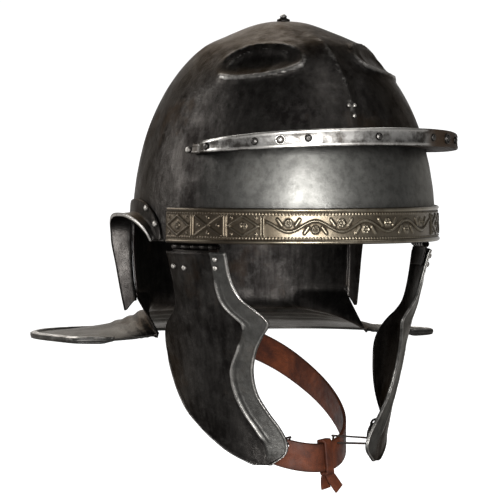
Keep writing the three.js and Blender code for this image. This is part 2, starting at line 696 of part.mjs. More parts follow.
// A closed ring of wire as one solid with no seam
function wireLoop(points, wire, sides = 8) {
  const count = points.length;
  const centre = points.reduce((sum, p) => sum.add(p), new THREE.Vector3()).divideScalar(count);
  const frames = points.map((point, i) => {
    const tangent = points[(i + 1) % count].clone().sub(points[(i + count - 1) % count]).normalize();
    const away = point.clone().sub(centre);
    away.addScaledVector(tangent, -away.dot(tangent)).normalize();
    return { point, away, aside: tangent.clone().cross(away) };
  });
  const plate = frames.map(({ point, away, aside }) =>
    ringPoints(point, away, aside, wire, sides),
  );
  const triangles = [];
  for (let s = 0; s < count; s++)
    for (let k = 0; k < sides; k++) {
      const [here, there] = [s * sides, ((s + 1) % count) * sides];
      const next = (k + 1) % sides;
      triangles.push(here + k, there + k, there + next, here + k, there + next, here + next);
    }
  return facingOut(new THREE.BufferGeometry().setFromPoints(plate.flat()).setIndex(triangles));
}

// The point, outward normal and upward edge direction of the strap; 0 is the throat
function onStrap(turn) {
  const middle = (strapLoop.throat + strapLoop.back) / 2;
  const halfDepth = (strapLoop.back - strapLoop.throat) / 2;
  const throatDrop = cheek.top + cheek.height - strapLoop.aboveTip;
  const place = (t) =>
    new THREE.Vector3(
      -strapLoop.halfWidth * Math.sin(t),
      middle - halfDepth * Math.cos(t),
      lerp(-throatDrop, -strapLoop.backDrop, (1 - Math.cos(t)) / 2),
    );
  const tangent = place(turn + 0.01).sub(place(turn - 0.01)).normalize();
  const outward = new THREE.Vector3(tangent.y, -tangent.x, 0).normalize();
  if (outward.dot(new THREE.Vector3(-Math.sin(turn), -Math.cos(turn), 0)) < 0) outward.negate();
  const up = outward.clone().cross(tangent).normalize();
  if (up.z < 0) up.negate();
  return { point: place(turn), outward, up, tangent };
}

// Where the wire rings hang inside the cheek guards, on the wearer's right
function tieFrame() {
  const height = tie.aboveTip - cheek.top - cheek.height;
  const { point, outward } = onCheek(tie.angle, height, -cheek.wall);
  const inward = outward.clone().negate();
  const lower = onCheek(tie.angle, height - tie.staple, -cheek.wall).point;
  const down = lower.sub(point).normalize();
  const aside = inward.clone().cross(down).normalize();
  const ringTop = point.clone().addScaledVector(inward, gap + tie.wire * 2);
  const ringCentre = ringTop.clone().addScaledVector(down, tie.ring);
  return { point, inward, down, aside, ringCentre };
}

function strapHole() {
  const { point, outward, up } = onStrap(rad(thong.angle));
  return { centre: point.addScaledVector(up, strap.width / 2 - thong.holeEdge), outward, up };
}

function makeStrap() {
  const columns = 44;
  const plate = new Plate();
  const half = strap.thickness / 2;
  const rows = [0.5, -0.5].map((up) => {
    const row = [];
    for (let c = 0; c < columns; c++) {
      const frame = onStrap((-2 * Math.PI * c) / columns);
      row.push(plate.add(frame.point.addScaledVector(frame.up, strap.width * up), half, half));
    }
    return [...row, row[0]];
  });
  let solid = toSolid(facingOut(plate.weave(rows).solid()));
  const { centre, outward } = strapHole();
  const pin = new THREE.CylinderGeometry(thong.hole, thong.hole, strap.thickness * 4, 10);
  const drill = aimed(pin, centre, outward);
  const holes = [drill, facingOut(mirrored(drill))];
  for (const hole of holes) solid = solid.subtract(toSolid(hole));
  return toGeometry(solid);
}

// A thong loop through the strap's hole, over its upper edge and through the ring
function makeThong() {
  const { centre, up } = strapHole();
  const { ringCentre, down } = tieFrame();
  const ringFoot = ringCentre.clone().addScaledVector(down, tie.ring);
  const edge = centre.clone().addScaledVector(up, thong.holeEdge / 2);
  const along = ringFoot.clone().sub(edge);
  const length = along.length();
  along.normalize();
  const over = up.clone().addScaledVector(along, -up.dot(along)).normalize();
  const atStrap = { over: thong.holeEdge / 2 + thong.wire + gap, under: thong.holeEdge / 2 };
  const atRing = tie.wire + gap + thong.wire;
  const reach = gap + thong.wire + tie.slack;
  const place = (a, b) => edge.clone().addScaledVector(along, a).addScaledVector(over, b);
  const points = [];
  const turns = 6;
  for (let i = 0; i <= turns; i++) {
    const turn = Math.PI / 2 + (Math.PI * i) / turns;
    const rise = Math.sin(turn);
    const back = reach * Math.cos(turn) - strap.thickness / 2;
    points.push(place(back, rise * (rise > 0 ? atStrap.over : atStrap.under)));
  }
  for (let i = 0; i <= turns; i++) {
    const turn = -Math.PI / 2 + (Math.PI * i) / turns;
    points.push(place(length + atRing * Math.cos(turn), atRing * Math.sin(turn)));
  }
  return wireLoop(points, thong.wire, 6);
}

function makeStaple() {
  const { point, inward, down } = tieFrame();
  const seat = point.addScaledVector(inward, gap);
  const arch = ringPoints(seat, down, inward, tie.staple, 9, 0, Math.PI);
  return facingOut(indexed(tube(arch, tie.stapleWire, false, 6)));
}

function makeRing() {
  const { ringCentre, down, aside } = tieFrame();
  return wireLoop(ringPoints(ringCentre, down, aside, tie.ring, 14), tie.wire, 6);
}

function indexed(geometry) {
  return toGeometry(toSolid(geometry));
}

// A box of three sizes along three directions
function turnedBox(sizes, directions, centre) {
  const basis = new THREE.Matrix4().makeBasis(...directions).setPosition(centre);
  return toSolid(facingOut(new THREE.BoxGeometry(...sizes).applyMatrix4(basis)));
}

// The knot at the throat: a wrap round the strap with two short ends hanging from it
function makeKnot() {
  const turn = -rad(knot.angle);
  const { point, outward, up, tangent } = onStrap(turn);
  const inside = strap.thickness / 2 + knot.ease;
  const outside = inside + knot.wall;
  const tall = strap.width / 2 + gap;
  const side = outward.clone().cross(up);
  const axes = [side, outward, up];
  const block = (out, high, length) => turnedBox([length, out * 2, high * 2], axes, point);
  const wrap = block(outside, tall + knot.wall, knot.length);
  const aim = tangent.clone().multiplyScalar(tangent.x > 0 ? 1 : -1);
  const tails = [-1, 1].map((way) => {
    const start = point.clone().addScaledVector(up, -tall - knot.wall * 0.3);
    start.addScaledVector(outward, way * tail.apart);
    const lean = aim.clone().multiplyScalar(tail.lean + tail.spread * way);
    lean.addScaledVector(outward, tail.outward * way);
    const run = lean.add(new THREE.Vector3(0, 0, -1)).normalize();
    const across = run.clone().cross(outward).normalize();
    const deep = across.clone().cross(run).normalize();
    const length = tail.length * (1 + tail.outward * way);
    const middle = start.addScaledVector(run, length / 2 - 1);
    return turnedBox([tail.width, tail.wall, length], [across, deep, run], middle);
  });
  const room = block(inside, tall, knot.length * 3);
  return toGeometry(wrap.add(tails[0]).add(tails[1]).subtract(room));
}

// The loop of strip iron under the neck guard that holds the strap at the nape
function makeNeckStaple() {
  const { point } = onStrap(Math.PI);
  const { wall, width, ease } = staple;
  const inside = strap.thickness / 2 + ease;
  const low = point.z - strap.width / 2 - ease;
  const high = point.z + strap.width / 2 + ease;
  const box = (halfDepth, bottom, top, across) => {
    const solid = new THREE.BoxGeometry(across, halfDepth * 2, top - bottom);
    return toSolid(solid.translate(point.x, point.y, (bottom + top) / 2));
  };
  const foot = box(inside + wall + staple.foot, high, high + wall, width);
  const outside = box(inside + wall, low - wall, high + wall, width);
  const loop = outside.subtract(box(inside, low, high, width * 2));
  return toGeometry(loop.add(foot));
}

const helmet = new THREE.Group();
helmet.position.z = -(bowl.height - bowl.wall);

function place(name, geometry, finish) {
  const mesh = new THREE.Mesh(geometry, finish);
  mesh.name = name;
  helmet.add(mesh);
}

function placePair(name, geometry, finish) {
  place(name + "_right", geometry, finish);
  place(name + "_left", mirrored(geometry.index ? geometry : indexed(geometry)), finish);
}

place("bowl", makeBowl(), iron);
place("crown_finial", makeFinial(), iron);
place("brow_guard", makeBrowGuard(), brightIron);
studAngles.forEach((degrees, i) => place("brow_stud_" + (i + 1), browStud(degrees, stud.radius), iron));
placePair("brow_boss", browStud(bossAngle, stud.boss), brightIron);
placePair("brow_rivet", skullRivet(browRivet.angle, browRivet.above, rivet), brightIron);
keelRivets.forEach(({ angle, height }, i) =>
  place("keel_rivet_" + (i + 1), skullRivet(angle, height, keelRivet), brightIron),
);
place("brow_band", makeBrowBand(), brass);
placePair("ear_guard", makeEarGuard(), iron);
earRivets.forEach(({ angle, height }, i) =>
  placePair("ear_rivet_" + (i + 1), skullRivet(angle, height, rivet, gap + earGuard.wall), brightIron),
);
placePair("cheek_guard", makeCheekGuard(), iron);
const hingeParts = makeHinge();
placePair("hinge_upper", hingeParts.upper, iron);
placePair("hinge_lower", hingeParts.lower, iron);
placePair("hinge_pin", hingeParts.pin, iron);
cheekRivets.forEach(({ angle, drop }, i) =>
  placePair("cheek_rivet_" + (i + 1), cheekRivet(angle, drop), brightIron),
);
placePair("tie_staple", makeStaple(), iron);
placePair("tie_ring", makeRing(), iron);
placePair("tie_thong", makeThong(), darkLeather);
place("chin_strap", makeStrap(), leather);
place("strap_knot", makeKnot(), leather);
place("neck_staple", makeNeckStaple(), iron);

const part = new THREE.Group();
part.add(helmet);

export default part;
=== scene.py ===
"""The looks of a legionary's helmet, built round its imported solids, in metres."""

import math

import bpy
import numpy as np
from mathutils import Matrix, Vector, noise


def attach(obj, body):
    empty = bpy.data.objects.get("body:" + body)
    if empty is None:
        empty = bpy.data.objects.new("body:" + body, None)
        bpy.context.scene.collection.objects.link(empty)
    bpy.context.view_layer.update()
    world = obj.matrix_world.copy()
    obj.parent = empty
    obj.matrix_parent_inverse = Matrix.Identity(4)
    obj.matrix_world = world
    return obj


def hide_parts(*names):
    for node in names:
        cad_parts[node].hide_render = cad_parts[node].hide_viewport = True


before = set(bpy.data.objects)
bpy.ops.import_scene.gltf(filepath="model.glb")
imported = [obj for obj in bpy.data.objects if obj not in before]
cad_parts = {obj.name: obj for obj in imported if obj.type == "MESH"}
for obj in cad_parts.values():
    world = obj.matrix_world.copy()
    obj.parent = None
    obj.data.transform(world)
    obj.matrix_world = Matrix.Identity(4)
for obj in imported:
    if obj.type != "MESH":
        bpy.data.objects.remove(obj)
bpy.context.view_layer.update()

# Sizes in millimetres, with heights from the brow rim as in the solids, and angles in degrees from the front
MM = 0.001
GAP = 0.4
HALF_WIDTH, HALF_LENGTH, HEIGHT, WALL, RIM = 102.5, 116.0, 152.0, 1.6, 0.8
LOWERED = HEIGHT - WALL
FULLNESS, PINCH = 2.2, 0.17
EYEBROW = dict(angle=46, height=125.5, half_length=29, half_depth=14.5, tilt=10, sink=3.1, ridge=2.3)
KEEL = dict(bottom=70, top=147, half_width=5, rise=1.5, foot_run=20, tip_run=12)
EAR = dict(front=86, rear=122, top=19, front_squareness=1.75, rear_squareness=3.2)
NAPE = dict(depth=44, tuck=4)
GUARD = dict(half_width=145, reach=185, side_at=45, front_run=18, fall=24, squareness=3)
GUARD_FRONT = dict(x=82, y=31, reach=0.45, dip=0.85)
BEAD = dict(half_thickness=2.5, width=5.5)
BROW = dict(stand_off=28, wall=2, height=12, middle=73, end_fall=8.5, end=64, tab=5, taper=0.4)
STUD = dict(radius=2.6, height=1.7, boss=3.6)
BAND = dict(end=80, height=24.5, wall=1.3, relief=1.3)
EAR_GUARD = dict(wall=1.6, foot=10, depth=14.8, bead=1.3, sag=5.5)
CHEEK = dict(top=5.8, height=146.5, wall=1.6, inset=4, bottom_radius=69, taper=1.45, relief=1.4)
HINGE = dict(start=58, end=81, drop=2.6, radius=2.2, pin=1.1, leaf=1.2, knuckles=5, reach=14)
RIVET = dict(radius=2.3, height=1.4, small=1.95)
STRAP = dict(
    width=20, thickness=2.4, edge=0.9, stitch_inset=2.2, half_width=50, throat=-48, back=116,
    throat_drop=149, back_drop=70,
)
TIE = dict(angle=35, drop=127, ring=6, wire=0.9, staple=3.6, thong=0.75, hole=2.1, hole_edge=4, turn=25)
KNOT = dict(angle=9, length=9, wall=2.2, ease=0.9, corner=1.6, tail=14, tail_width=8)
STAPLE = dict(wall=1.6, width=12, ease=0.8, foot=4)

# Where the studs and rivets stand: angles, and heights above the rim or drops below it
STUD_ANGLES = (-57, -39, -22.5, 0, 22.5, 39, 57)
BOSS_ANGLE = 31
BROW_RIVET = (72.6, 63.5)
KEEL_RIVETS = ((-1.5, 93), (1.5, 93), (0, 86))
EAR_RIVETS = ((93, 23), (86, 12.5))
CHEEK_RIVETS = ((58.5, 10.5), (58.5, 16.5), (74, 17), (80, 16))

# The outline of the knob on the crown, as radii and heights
FINIAL_OUTLINE = [
    (0.2, -0.4), (4.4, -0.55), (4.6, 0.1), (4.4, 0.7), (3.9, 1.05), (2.7, 1.45), (2.25, 1.8),
    (2.3, 2.3), (2.5, 2.8), (2.3, 3.3), (1.7, 3.8), (1.0, 4.3), (0.4, 4.55), (0.05, 4.6),
]

# The neck guard's run from the nape to its rolled edge: shares of the way out and of the way down
GUARD_PROFILE = [
    (0.02, 0.14), (0.07, 0.28), (0.12, 0.31), (0.17, 0.44), (0.22, 0.47),
    (0.28, 0.58), (0.33, 0.6), (0.4, 0.7), (0.66, 0.86), (0.9, 0.97),
]

# A cheek guard's share of height, then the angles of its front edge, inner ridge and rear edge
CHEEK_OUTLINE = [
    (0, 54, 61, 84), (0.128, 52, 59.6, 82.8), (0.215, 47.8, 58, 82.8), (0.265, 42, 55, 84.5),
    (0.308, 36.8, 50.5, 89), (0.338, 35.4, 47.5, 93.5), (0.39, 38, 48, 98.5),
    (0.462, 41, 50.5, 101.5), (0.562, 42.6, 54.2, 100.5), (0.663, 40.6, 52.8, 97),
    (0.749, 35.2, 48.8, 90.5), (0.83, 28.8, 43, 79.5), (0.896, 25.4, 38.5, 69),
    (0.95, 26.6, 37, 59), (1, 35, 39, 46),
]

# An ear guard's run round the opening, then the shares of its flange's depth, foot's width and sag
EAR_FLANGE = [
    (0, 0.3, 0.5, 0), (0.15, 0.5, 1, 0), (0.3, 0.78, 1, 0), (0.47, 1, 0.9, 0), (0.6, 0.95, 0.7, 0.05),
    (0.75, 0.75, 0.65, 0.35), (1, 0.55, 0.6, 1),
]


def smoothstep(x, low, high):
    t = np.clip((x - low) / (high - low), 0, 1)
    return t * t * (3 - 2 * t)


def between(x, low, full, fading, gone):
    """Rises from 0 at low to 1 at full, and falls again from fading to gone."""
    return smoothstep(x, low, full) * (1 - smoothstep(x, fading, gone))


def mix(a, b, t):
    return a + (b - a) * t


def bump_at(x, centre, width):
    """A soft bump of height 1 at centre."""
    return np.exp(-(((x - centre) / width) ** 2))


def follow(table, at):
    """A table's row at a place between its rows, on smooth curves through them."""
    rows = np.asarray(table, float)
    last = len(rows) - 1
    at = np.atleast_1d(np.asarray(at, float))
    i = np.clip(np.searchsorted(rows[:, 0], at, side="left") - 1, 0, last - 1)
    a, b = rows[i], rows[i + 1]
    before, after = rows[np.maximum(i - 1, 0)], rows[np.minimum(i + 2, last)]
    span = (b[:, 0] - a[:, 0])[:, None]
    t = np.clip((at[:, None] - a[:, :1]) / span, 0, 1)
    leave = (b - before) / (b[:, :1] - before[:, :1]) * span
    arrive = (after - a) / (after[:, :1] - a[:, :1]) * span
    change = b - a
    curve = 3 * change - 2 * leave - arrive
    return a + leave * t + curve * t**2 + (change - leave - curve) * t**3


def smooth_loop(points, steps):
    """A closed run of points with smooth steps between them."""
    ring = np.concatenate([points[-2:], points, points[:3]])
    fine = resample(ring[:, None], (len(ring) - 1) * steps + 1)[:, 0]
    return fine[2 * steps:(2 + len(points)) * steps]


def resample(rows, count):
    """Rows of points, shaped (rows, columns, values), on smooth curves through them."""
    last = len(rows) - 1
    at = np.linspace(0, last, count)
    i = np.minimum(at.astype(int), last - 1)
    t = (at - i)[:, None, None]
    a, b = rows[i], rows[i + 1]
    before, after = rows[np.maximum(i - 1, 0)], rows[np.minimum(i + 2, last)]
    leave, arrive = (b - before) / 2, (after - a) / 2
    change = b - a
    curve = 3 * change - 2 * leave - arrive
    return a + leave * t + curve * t**2 + (change - leave - curve) * t**3


def unit(v):
    return v / np.maximum(np.linalg.norm(v, axis=-1, keepdims=True), 1e-12)


def skull_share(z):
    """The share of the skull's half width and length at a height."""
    t = np.clip(z / HEIGHT, 0, 1)
    dome = (1 - t**FULLNESS) ** (1 / FULLNESS) * (1 - PINCH * smoothstep(t, 0.88, 0.975))
    return np.where(z < 0, 1 - (NAPE["tuck"] / HALF_LENGTH) * (z / NAPE["depth"]) ** 2, dome)


def skull_normal(angle, z):
    step = 0.5
    slope = (skull_share(z + step) - skull_share(z - step)) / (2 * step)
    across = -np.sin(angle) / HALF_WIDTH
    along = -np.cos(angle) / HALF_LENGTH
    return unit(np.stack(np.broadcast_arrays(across, along, -slope), -1))


def on_skull(angle, z, out=0.0):
    angle, z = np.broadcast_arrays(np.asarray(angle, float), np.asarray(z, float))
    share = skull_share(z)
    x, y = -HALF_WIDTH * share * np.sin(angle), -HALF_LENGTH * share * np.cos(angle)
    return np.stack([x, y, z], -1) + skull_normal(angle, z) * np.asarray(out)[..., None]


def eyebrow_place(angle, z):
    """How far along and up an eyebrow's oval a place is, in shares of the oval's half sizes."""
    centre_angle = math.radians(EYEBROW["angle"])
    centre = on_skull(centre_angle, EYEBROW["height"])
    outward = skull_normal(centre_angle, EYEBROW["height"])
    across = -unit(np.cross([0, 0, 1], outward))
    up = -np.cross(outward, across)
    away = on_skull(np.abs(angle), z) - centre
    a, u, tilt = away @ across, away @ up, math.radians(EYEBROW["tilt"])
    along = (a * math.cos(tilt) - u * math.sin(tilt)) / EYEBROW["half_length"]
    rise = (a * math.sin(tilt) + u * math.cos(tilt)) / EYEBROW["half_depth"]
    return along, rise


def skull_relief(angle, z):
    """How far the embossed eyebrows and keel stand out of the skull, and how sharp each place is."""
    along, rise = eyebrow_place(angle, z)
    reach = np.hypot(along, rise)
    hollow = -EYEBROW["sink"] * (1 - smoothstep(reach, 0.3, 1))
    lower = 0.12 + 0.88 * smoothstep(-rise - 0.35 * along, -0.35, 0.45)
    rim = lower * bump_at(reach, 1.1, 0.13) * (1 - smoothstep(np.abs(along), 0.95, 1.25))
    upper = smoothstep(rise, -0.35, 0.15)
    folds = upper * (0.9 * bump_at(reach, 0.74, 0.1) + bump_at(reach, 1.05, 0.1))
    folds = folds * (1 - smoothstep(np.abs(along), 0.75, 1.05))
    side = angle * HALF_WIDTH * skull_share(z) / KEEL["half_width"]
    low, top = KEEL["bottom"], KEEL["top"]
    crest = between(z, low, low + KEEL["foot_run"], top - KEEL["tip_run"], top) * np.exp(-(side**2))
    relief = hollow + EYEBROW["ridge"] * rim + 1.1 * folds + KEEL["rise"] * crest
    return relief, np.clip(0.92 * rim + 0.5 * folds + 0.42 * crest, 0, 1)


def wander(points, size, seed):
    """A smooth random value, -1 to 1, at each point."""
    flat = points.reshape(-1, 3) / size + seed * 17.3
    values = [noise.noise(Vector(p)) for p in flat]
    return np.array(values).reshape(points.shape[:-1])


def link(obj):
    bpy.context.scene.collection.objects.link(obj)


def places(mesh):
    co = np.zeros(len(mesh.vertices) * 3)
    mesh.vertices.foreach_get("co", co)
    return co.reshape(-1, 3)


def face_out(mesh):
    mesh.calc_loop_triangles()
    corners = np.zeros(len(mesh.loop_triangles) * 3, np.int32)
    mesh.loop_triangles.foreach_get("vertices", corners)
    a, b, c = np.swapaxes(places(mesh)[corners.reshape(-1, 3)], 0, 1)
    if np.einsum("ij,ij->i", a, np.cross(b, c)).sum() < 0:
        mesh.flip_normals()


def make_object(name, vertices, faces, attributes=None):
    """A closed piece whose faces all look out."""
    mesh = bpy.data.meshes.new(name)
    placed = (np.asarray(vertices, float).reshape(-1, 3) - [0, 0, LOWERED]) * MM
    mesh.from_pydata(placed.tolist(), [], [list(map(int, f)) for f in faces])
    for key, values in (attributes or {}).items():
        layer = mesh.attributes.new(key, "FLOAT", "POINT")
        layer.data.foreach_set("value", np.asarray(values, np.float32).ravel())
    mesh.validate()
    mesh.shade_smooth()
    face_out(mesh)
    obj = bpy.data.objects.new(name, mesh)
    link(obj)
    return obj


def net_of(points):
    """The indices of a net of points."""
    return np.arange(points[..., 0].size).reshape(points.shape[:2])


def net_faces(index, closed=False):
    """Quads of a net of indices whose rows run down and columns to the right, seen from outside."""
    if closed:
        index = np.concatenate([index, index[:, :1]], 1)
    quads = np.stack([index[:-1, :-1], index[1:, :-1], index[1:, 1:], index[:-1, 1:]], -1)
    return quads.reshape(-1, 4)


def shell(name, points, outer, inner, attributes, rim=4, quads=None):
    """A closed plate from a net: its outer and inner faces, with rims as round as it is thick."""
    if quads is None:
        quads = net_faces(net_of(points))
    points = points.reshape(-1, 3)
    outer, inner = np.ravel(outer), np.ravel(inner)
    diagonals = points[quads[:, 2]] - points[quads[:, 0]], points[quads[:, 3]] - points[quads[:, 1]]
    areas = np.cross(*diagonals)
    normals = np.zeros_like(points)
    for k in range(4):
        np.add.at(normals, quads[:, k], areas)
    normals = unit(normals)
    count = len(points)
    edges = np.concatenate([quads[:, [k, (k + 1) % 4]] for k in range(4)])
    edges = edges[edges[:, 0] != edges[:, 1]]
    forward, backward = edges[:, 0] * count + edges[:, 1], edges[:, 1] * count + edges[:, 0]
    border = edges[~np.isin(forward, backward)]
    away = np.zeros_like(points)
    run = unit(points[border[:, 1]] - points[border[:, 0]])
    for k in range(2):
        np.add.at(away, border[:, k], np.cross(run, normals[border[:, k]]))
    away = unit(away)
    on_border = np.unique(border)
    half = (outer + inner) / 2
    middle = points + normals * ((outer - inner) / 2)[:, None]
    drawn = np.zeros(count)
    drawn[on_border] = np.minimum(half[on_border], 0.8)
    base = middle - away * drawn[:, None]
    outside, inside = base + normals * half[:, None], base - normals * half[:, None]
    rings, slots = [], np.full(count, -1)
    slots[on_border] = np.arange(len(on_border))
    for k in range(1, rim):
        turn = math.pi * k / rim
        step = normals * (half * math.cos(turn))[:, None] + away * (drawn * math.sin(turn))[:, None]
        rings.append((base + step)[on_border])
    vertices = np.concatenate([outside, inside, *rings])
    a, b = border[:, 0], border[:, 1]
    tiers = [(a, b)]
    for k in range(rim - 1):
        offset = 2 * count + k * len(on_border)
        tiers.append((offset + slots[a], offset + slots[b]))
    tiers.append((count + a, count + b))
    sides = [np.stack([hi[1], hi[0], lo[0], lo[1]], -1) for hi, lo in zip(tiers, tiers[1:])]
    faces = np.concatenate([quads, (quads + count)[:, ::-1], *sides])
    clean = [tuple(dict.fromkeys(f)) for f in faces.tolist()]
    full = {}
    for key, values in attributes.items():
        values = np.ravel(values)
        back = values * 0 if key == "wear" else values
        full[key] = np.concatenate([values, back, *[values[on_border]] * (rim - 1)])
    return make_object(name, vertices, clean, full)


def mirror(obj):
    """The same piece on the wearer's left."""
    name = obj.name.replace("_right", "_left")
    mesh = obj.data.copy()
    mesh.name = name
    mesh.vertices.foreach_set("co", (places(mesh) * [-1, 1, 1]).ravel())
    mesh.flip_normals()
    mesh.update()
    twin = bpy.data.objects.new(name, mesh)
    link(twin)
    return twin


def tubed(name, rings, closed=False, attributes=None):
    """A piece from rings of points: a loop if closed, and otherwise with a face at each end."""
    index = net_of(rings)
    faces = net_faces(np.concatenate([index, index[:1]]) if closed else index, True).tolist()
    if not closed:
        faces += [index[0][::-1].tolist(), index[-1].tolist()]
    return make_object(name, rings, faces, attributes)


def sweep(name, path, section, closed=False, up=None):
    """A section carried along a path; the section's points are (aside, up) steps at each place."""
    path = np.asarray(path, float)
    if closed:
        tangent = unit(np.roll(path, -1, 0) - np.roll(path, 1, 0))
    else:
        tangent = unit(np.gradient(path, axis=0))
    if up is None:
        frames = [unit(np.cross(tangent[0], [0.3, 0.5, 0.8]))]
        for t in tangent[1:]:
            frames.append(unit(frames[-1] - t * (frames[-1] @ t)))
        up = np.array(frames)
    side = unit(np.cross(tangent, up))
    section = np.asarray(section, float)
    if section.ndim == 2:
        section = np.repeat(section[None], len(path), 0)
    rings = path[:, None] + side[:, None] * section[..., :1] + up[:, None] * section[..., 1:]
    return tubed(name, rings, closed)


def circle(radius, sides):
    turn = np.linspace(0, 2 * math.pi, sides, endpoint=False)
    return np.stack([radius * np.cos(turn), radius * np.sin(turn)], -1)


def lathe(name, outline, seat, outward, sides):
    """A turned piece; the outline's points are (radius, height), from the foot up."""
    outward = unit(np.asarray(outward, float))
    first = unit(np.cross(outward, [0.31, 0.17, 0.93]))
    second = np.cross(outward, first)
    turn = np.linspace(0, 2 * math.pi, sides, endpoint=False)
    ring = first * np.cos(turn)[:, None] + second * np.sin(turn)[:, None]
    outline = np.asarray(outline, float)
    points = seat + outward * outline[:, None, 1:] + ring[None] * outline[:, None, :1]
    wear = np.repeat(smoothstep(outline[:, 1] / outline[:, 1].max(), 0.2, 0.9), sides)
    return tubed(name, points, attributes={"wear": wear})


def domed(radius, height):
    """The outline of a rivet head."""
    turn = np.linspace(0, math.pi / 2, 9)[:-1]
    dome = np.stack([radius * np.cos(turn), height * (0.12 + 0.88 * np.sin(turn))], -1)
    return [[radius, 0], *dome.tolist(), [radius * 0.06, height]]


def ringed(radius, height):
    """The outline of a boss: a raised ring round a dome."""
    shares = [
        (1, 0), (1, 0.45), (0.93, 0.72), (0.8, 0.75), (0.7, 0.5), (0.62, 0.32),
        (0.5, 0.4), (0.42, 0.8), (0.2, 1), (0.04, 1),
    ]
    return [[radius * across, height * up] for across, up in shares]


# The bowl

def ear_arch(share):
    """The angle and height along the edge of an ear opening, from front to rear."""
    turn = math.pi * (1 - np.asarray(share))
    power = 2 / np.where(share < 0.5, EAR["front_squareness"], EAR["rear_squareness"])
    across = np.sign(np.cos(turn)) * np.abs(np.cos(turn)) ** power
    rise = np.maximum(np.sin(turn), 0) ** power
    along = (1 + across) / 2
    angle = np.radians(mix(EAR["front"], EAR["rear"], along))
    return angle, mix(RIM, 0, along) * (1 - rise) + EAR["top"] * rise


def skull_columns(front_count, arch_count, rear_count):
    """The angles of the skull's columns and the heights where they end."""
    front = np.radians(EAR["front"] * np.arange(front_count) / front_count)
    arch_angle, arch_z = ear_arch(np.arange(arch_count) / arch_count)
    rear = np.radians(np.linspace(EAR["rear"], 180, rear_count + 1))
    angle = np.concatenate([front, arch_angle, rear])
    z = np.concatenate([front * 0 + RIM, arch_z, rear * 0])
    return np.concatenate([angle[::-1], -angle[1:-1]]), np.concatenate([z[::-1], z[1:-1]])


def guard_edge(share):
    """The neck guard's outer edge on the wearer's right, from front to back."""
    turn = np.radians(mix(50, 180, share))
    power = 2 / GUARD["squareness"]
    side = np.maximum(np.sin(turn), 0) ** power
    ahead = np.sign(np.cos(turn)) * np.abs(np.cos(turn)) ** power
    run = np.where(ahead > 0, GUARD["front_run"], GUARD["reach"] - GUARD["side_at"])
    return np.stack([-GUARD["half_width"] * side, GUARD["side_at"] - run * ahead, side * 0], -1)


def mirrored(side):
    return np.stack([side, side * 0 + 1, side * 0 + 1], -1)


def nape_runs(angles, count):
    """The nape and neck guard below columns of the skull, with how far the rolled edge bulges."""
    side = np.where(angles == 0, 1, np.sign(angles))
    share = (np.abs(angles) - math.radians(EAR["rear"])) / (math.pi - math.radians(EAR["rear"]))
    forward = 1 - smoothstep(share, 0, GUARD_FRONT["reach"])
    corner = np.array([GUARD_FRONT["x"], GUARD_FRONT["y"], -NAPE["depth"]]) * mirrored(-side)
    root = mix(on_skull(angles, -NAPE["depth"]), corner, forward[:, None])
    edge = guard_edge(share) * mirrored(side)
    run = np.hypot(edge[:, 0] - root[:, 0], edge[:, 1] - root[:, 1])

    def at(out, down):
        out = np.broadcast_to(out, run.shape)
        place = mix(root, edge, out[:, None])
        place[:, 2] = -NAPE["depth"] - GUARD["fall"] * mix(down, 1, forward * GUARD_FRONT["dip"])
        return place

    flat = run[:, None] * 0
    rows = [on_skull(angles, -NAPE["depth"] * down) for down in (0.2, 0.4, 0.6, 0.8, 0.93)]
    rows += [at(out, down) for out, down in GUARD_PROFILE]
    rows = [np.append(row, flat, 1) for row in rows]
    for back in (1, 0.8, 0.5, 0.15, 0):
        bulge = math.sin(math.pi * math.sqrt(1 - back) * 0.85)
        extra = (BEAD["half_thickness"] - WALL / 2) * bulge * (0.25 + 0.75 * smoothstep(share, 0, 0.05))
        place = at(1 - BEAD["width"] * back / run, mix(0.97, 1, 1 - back))
        rows.append(np.append(place, extra[:, None], 1))
    return resample(np.array(rows), count)


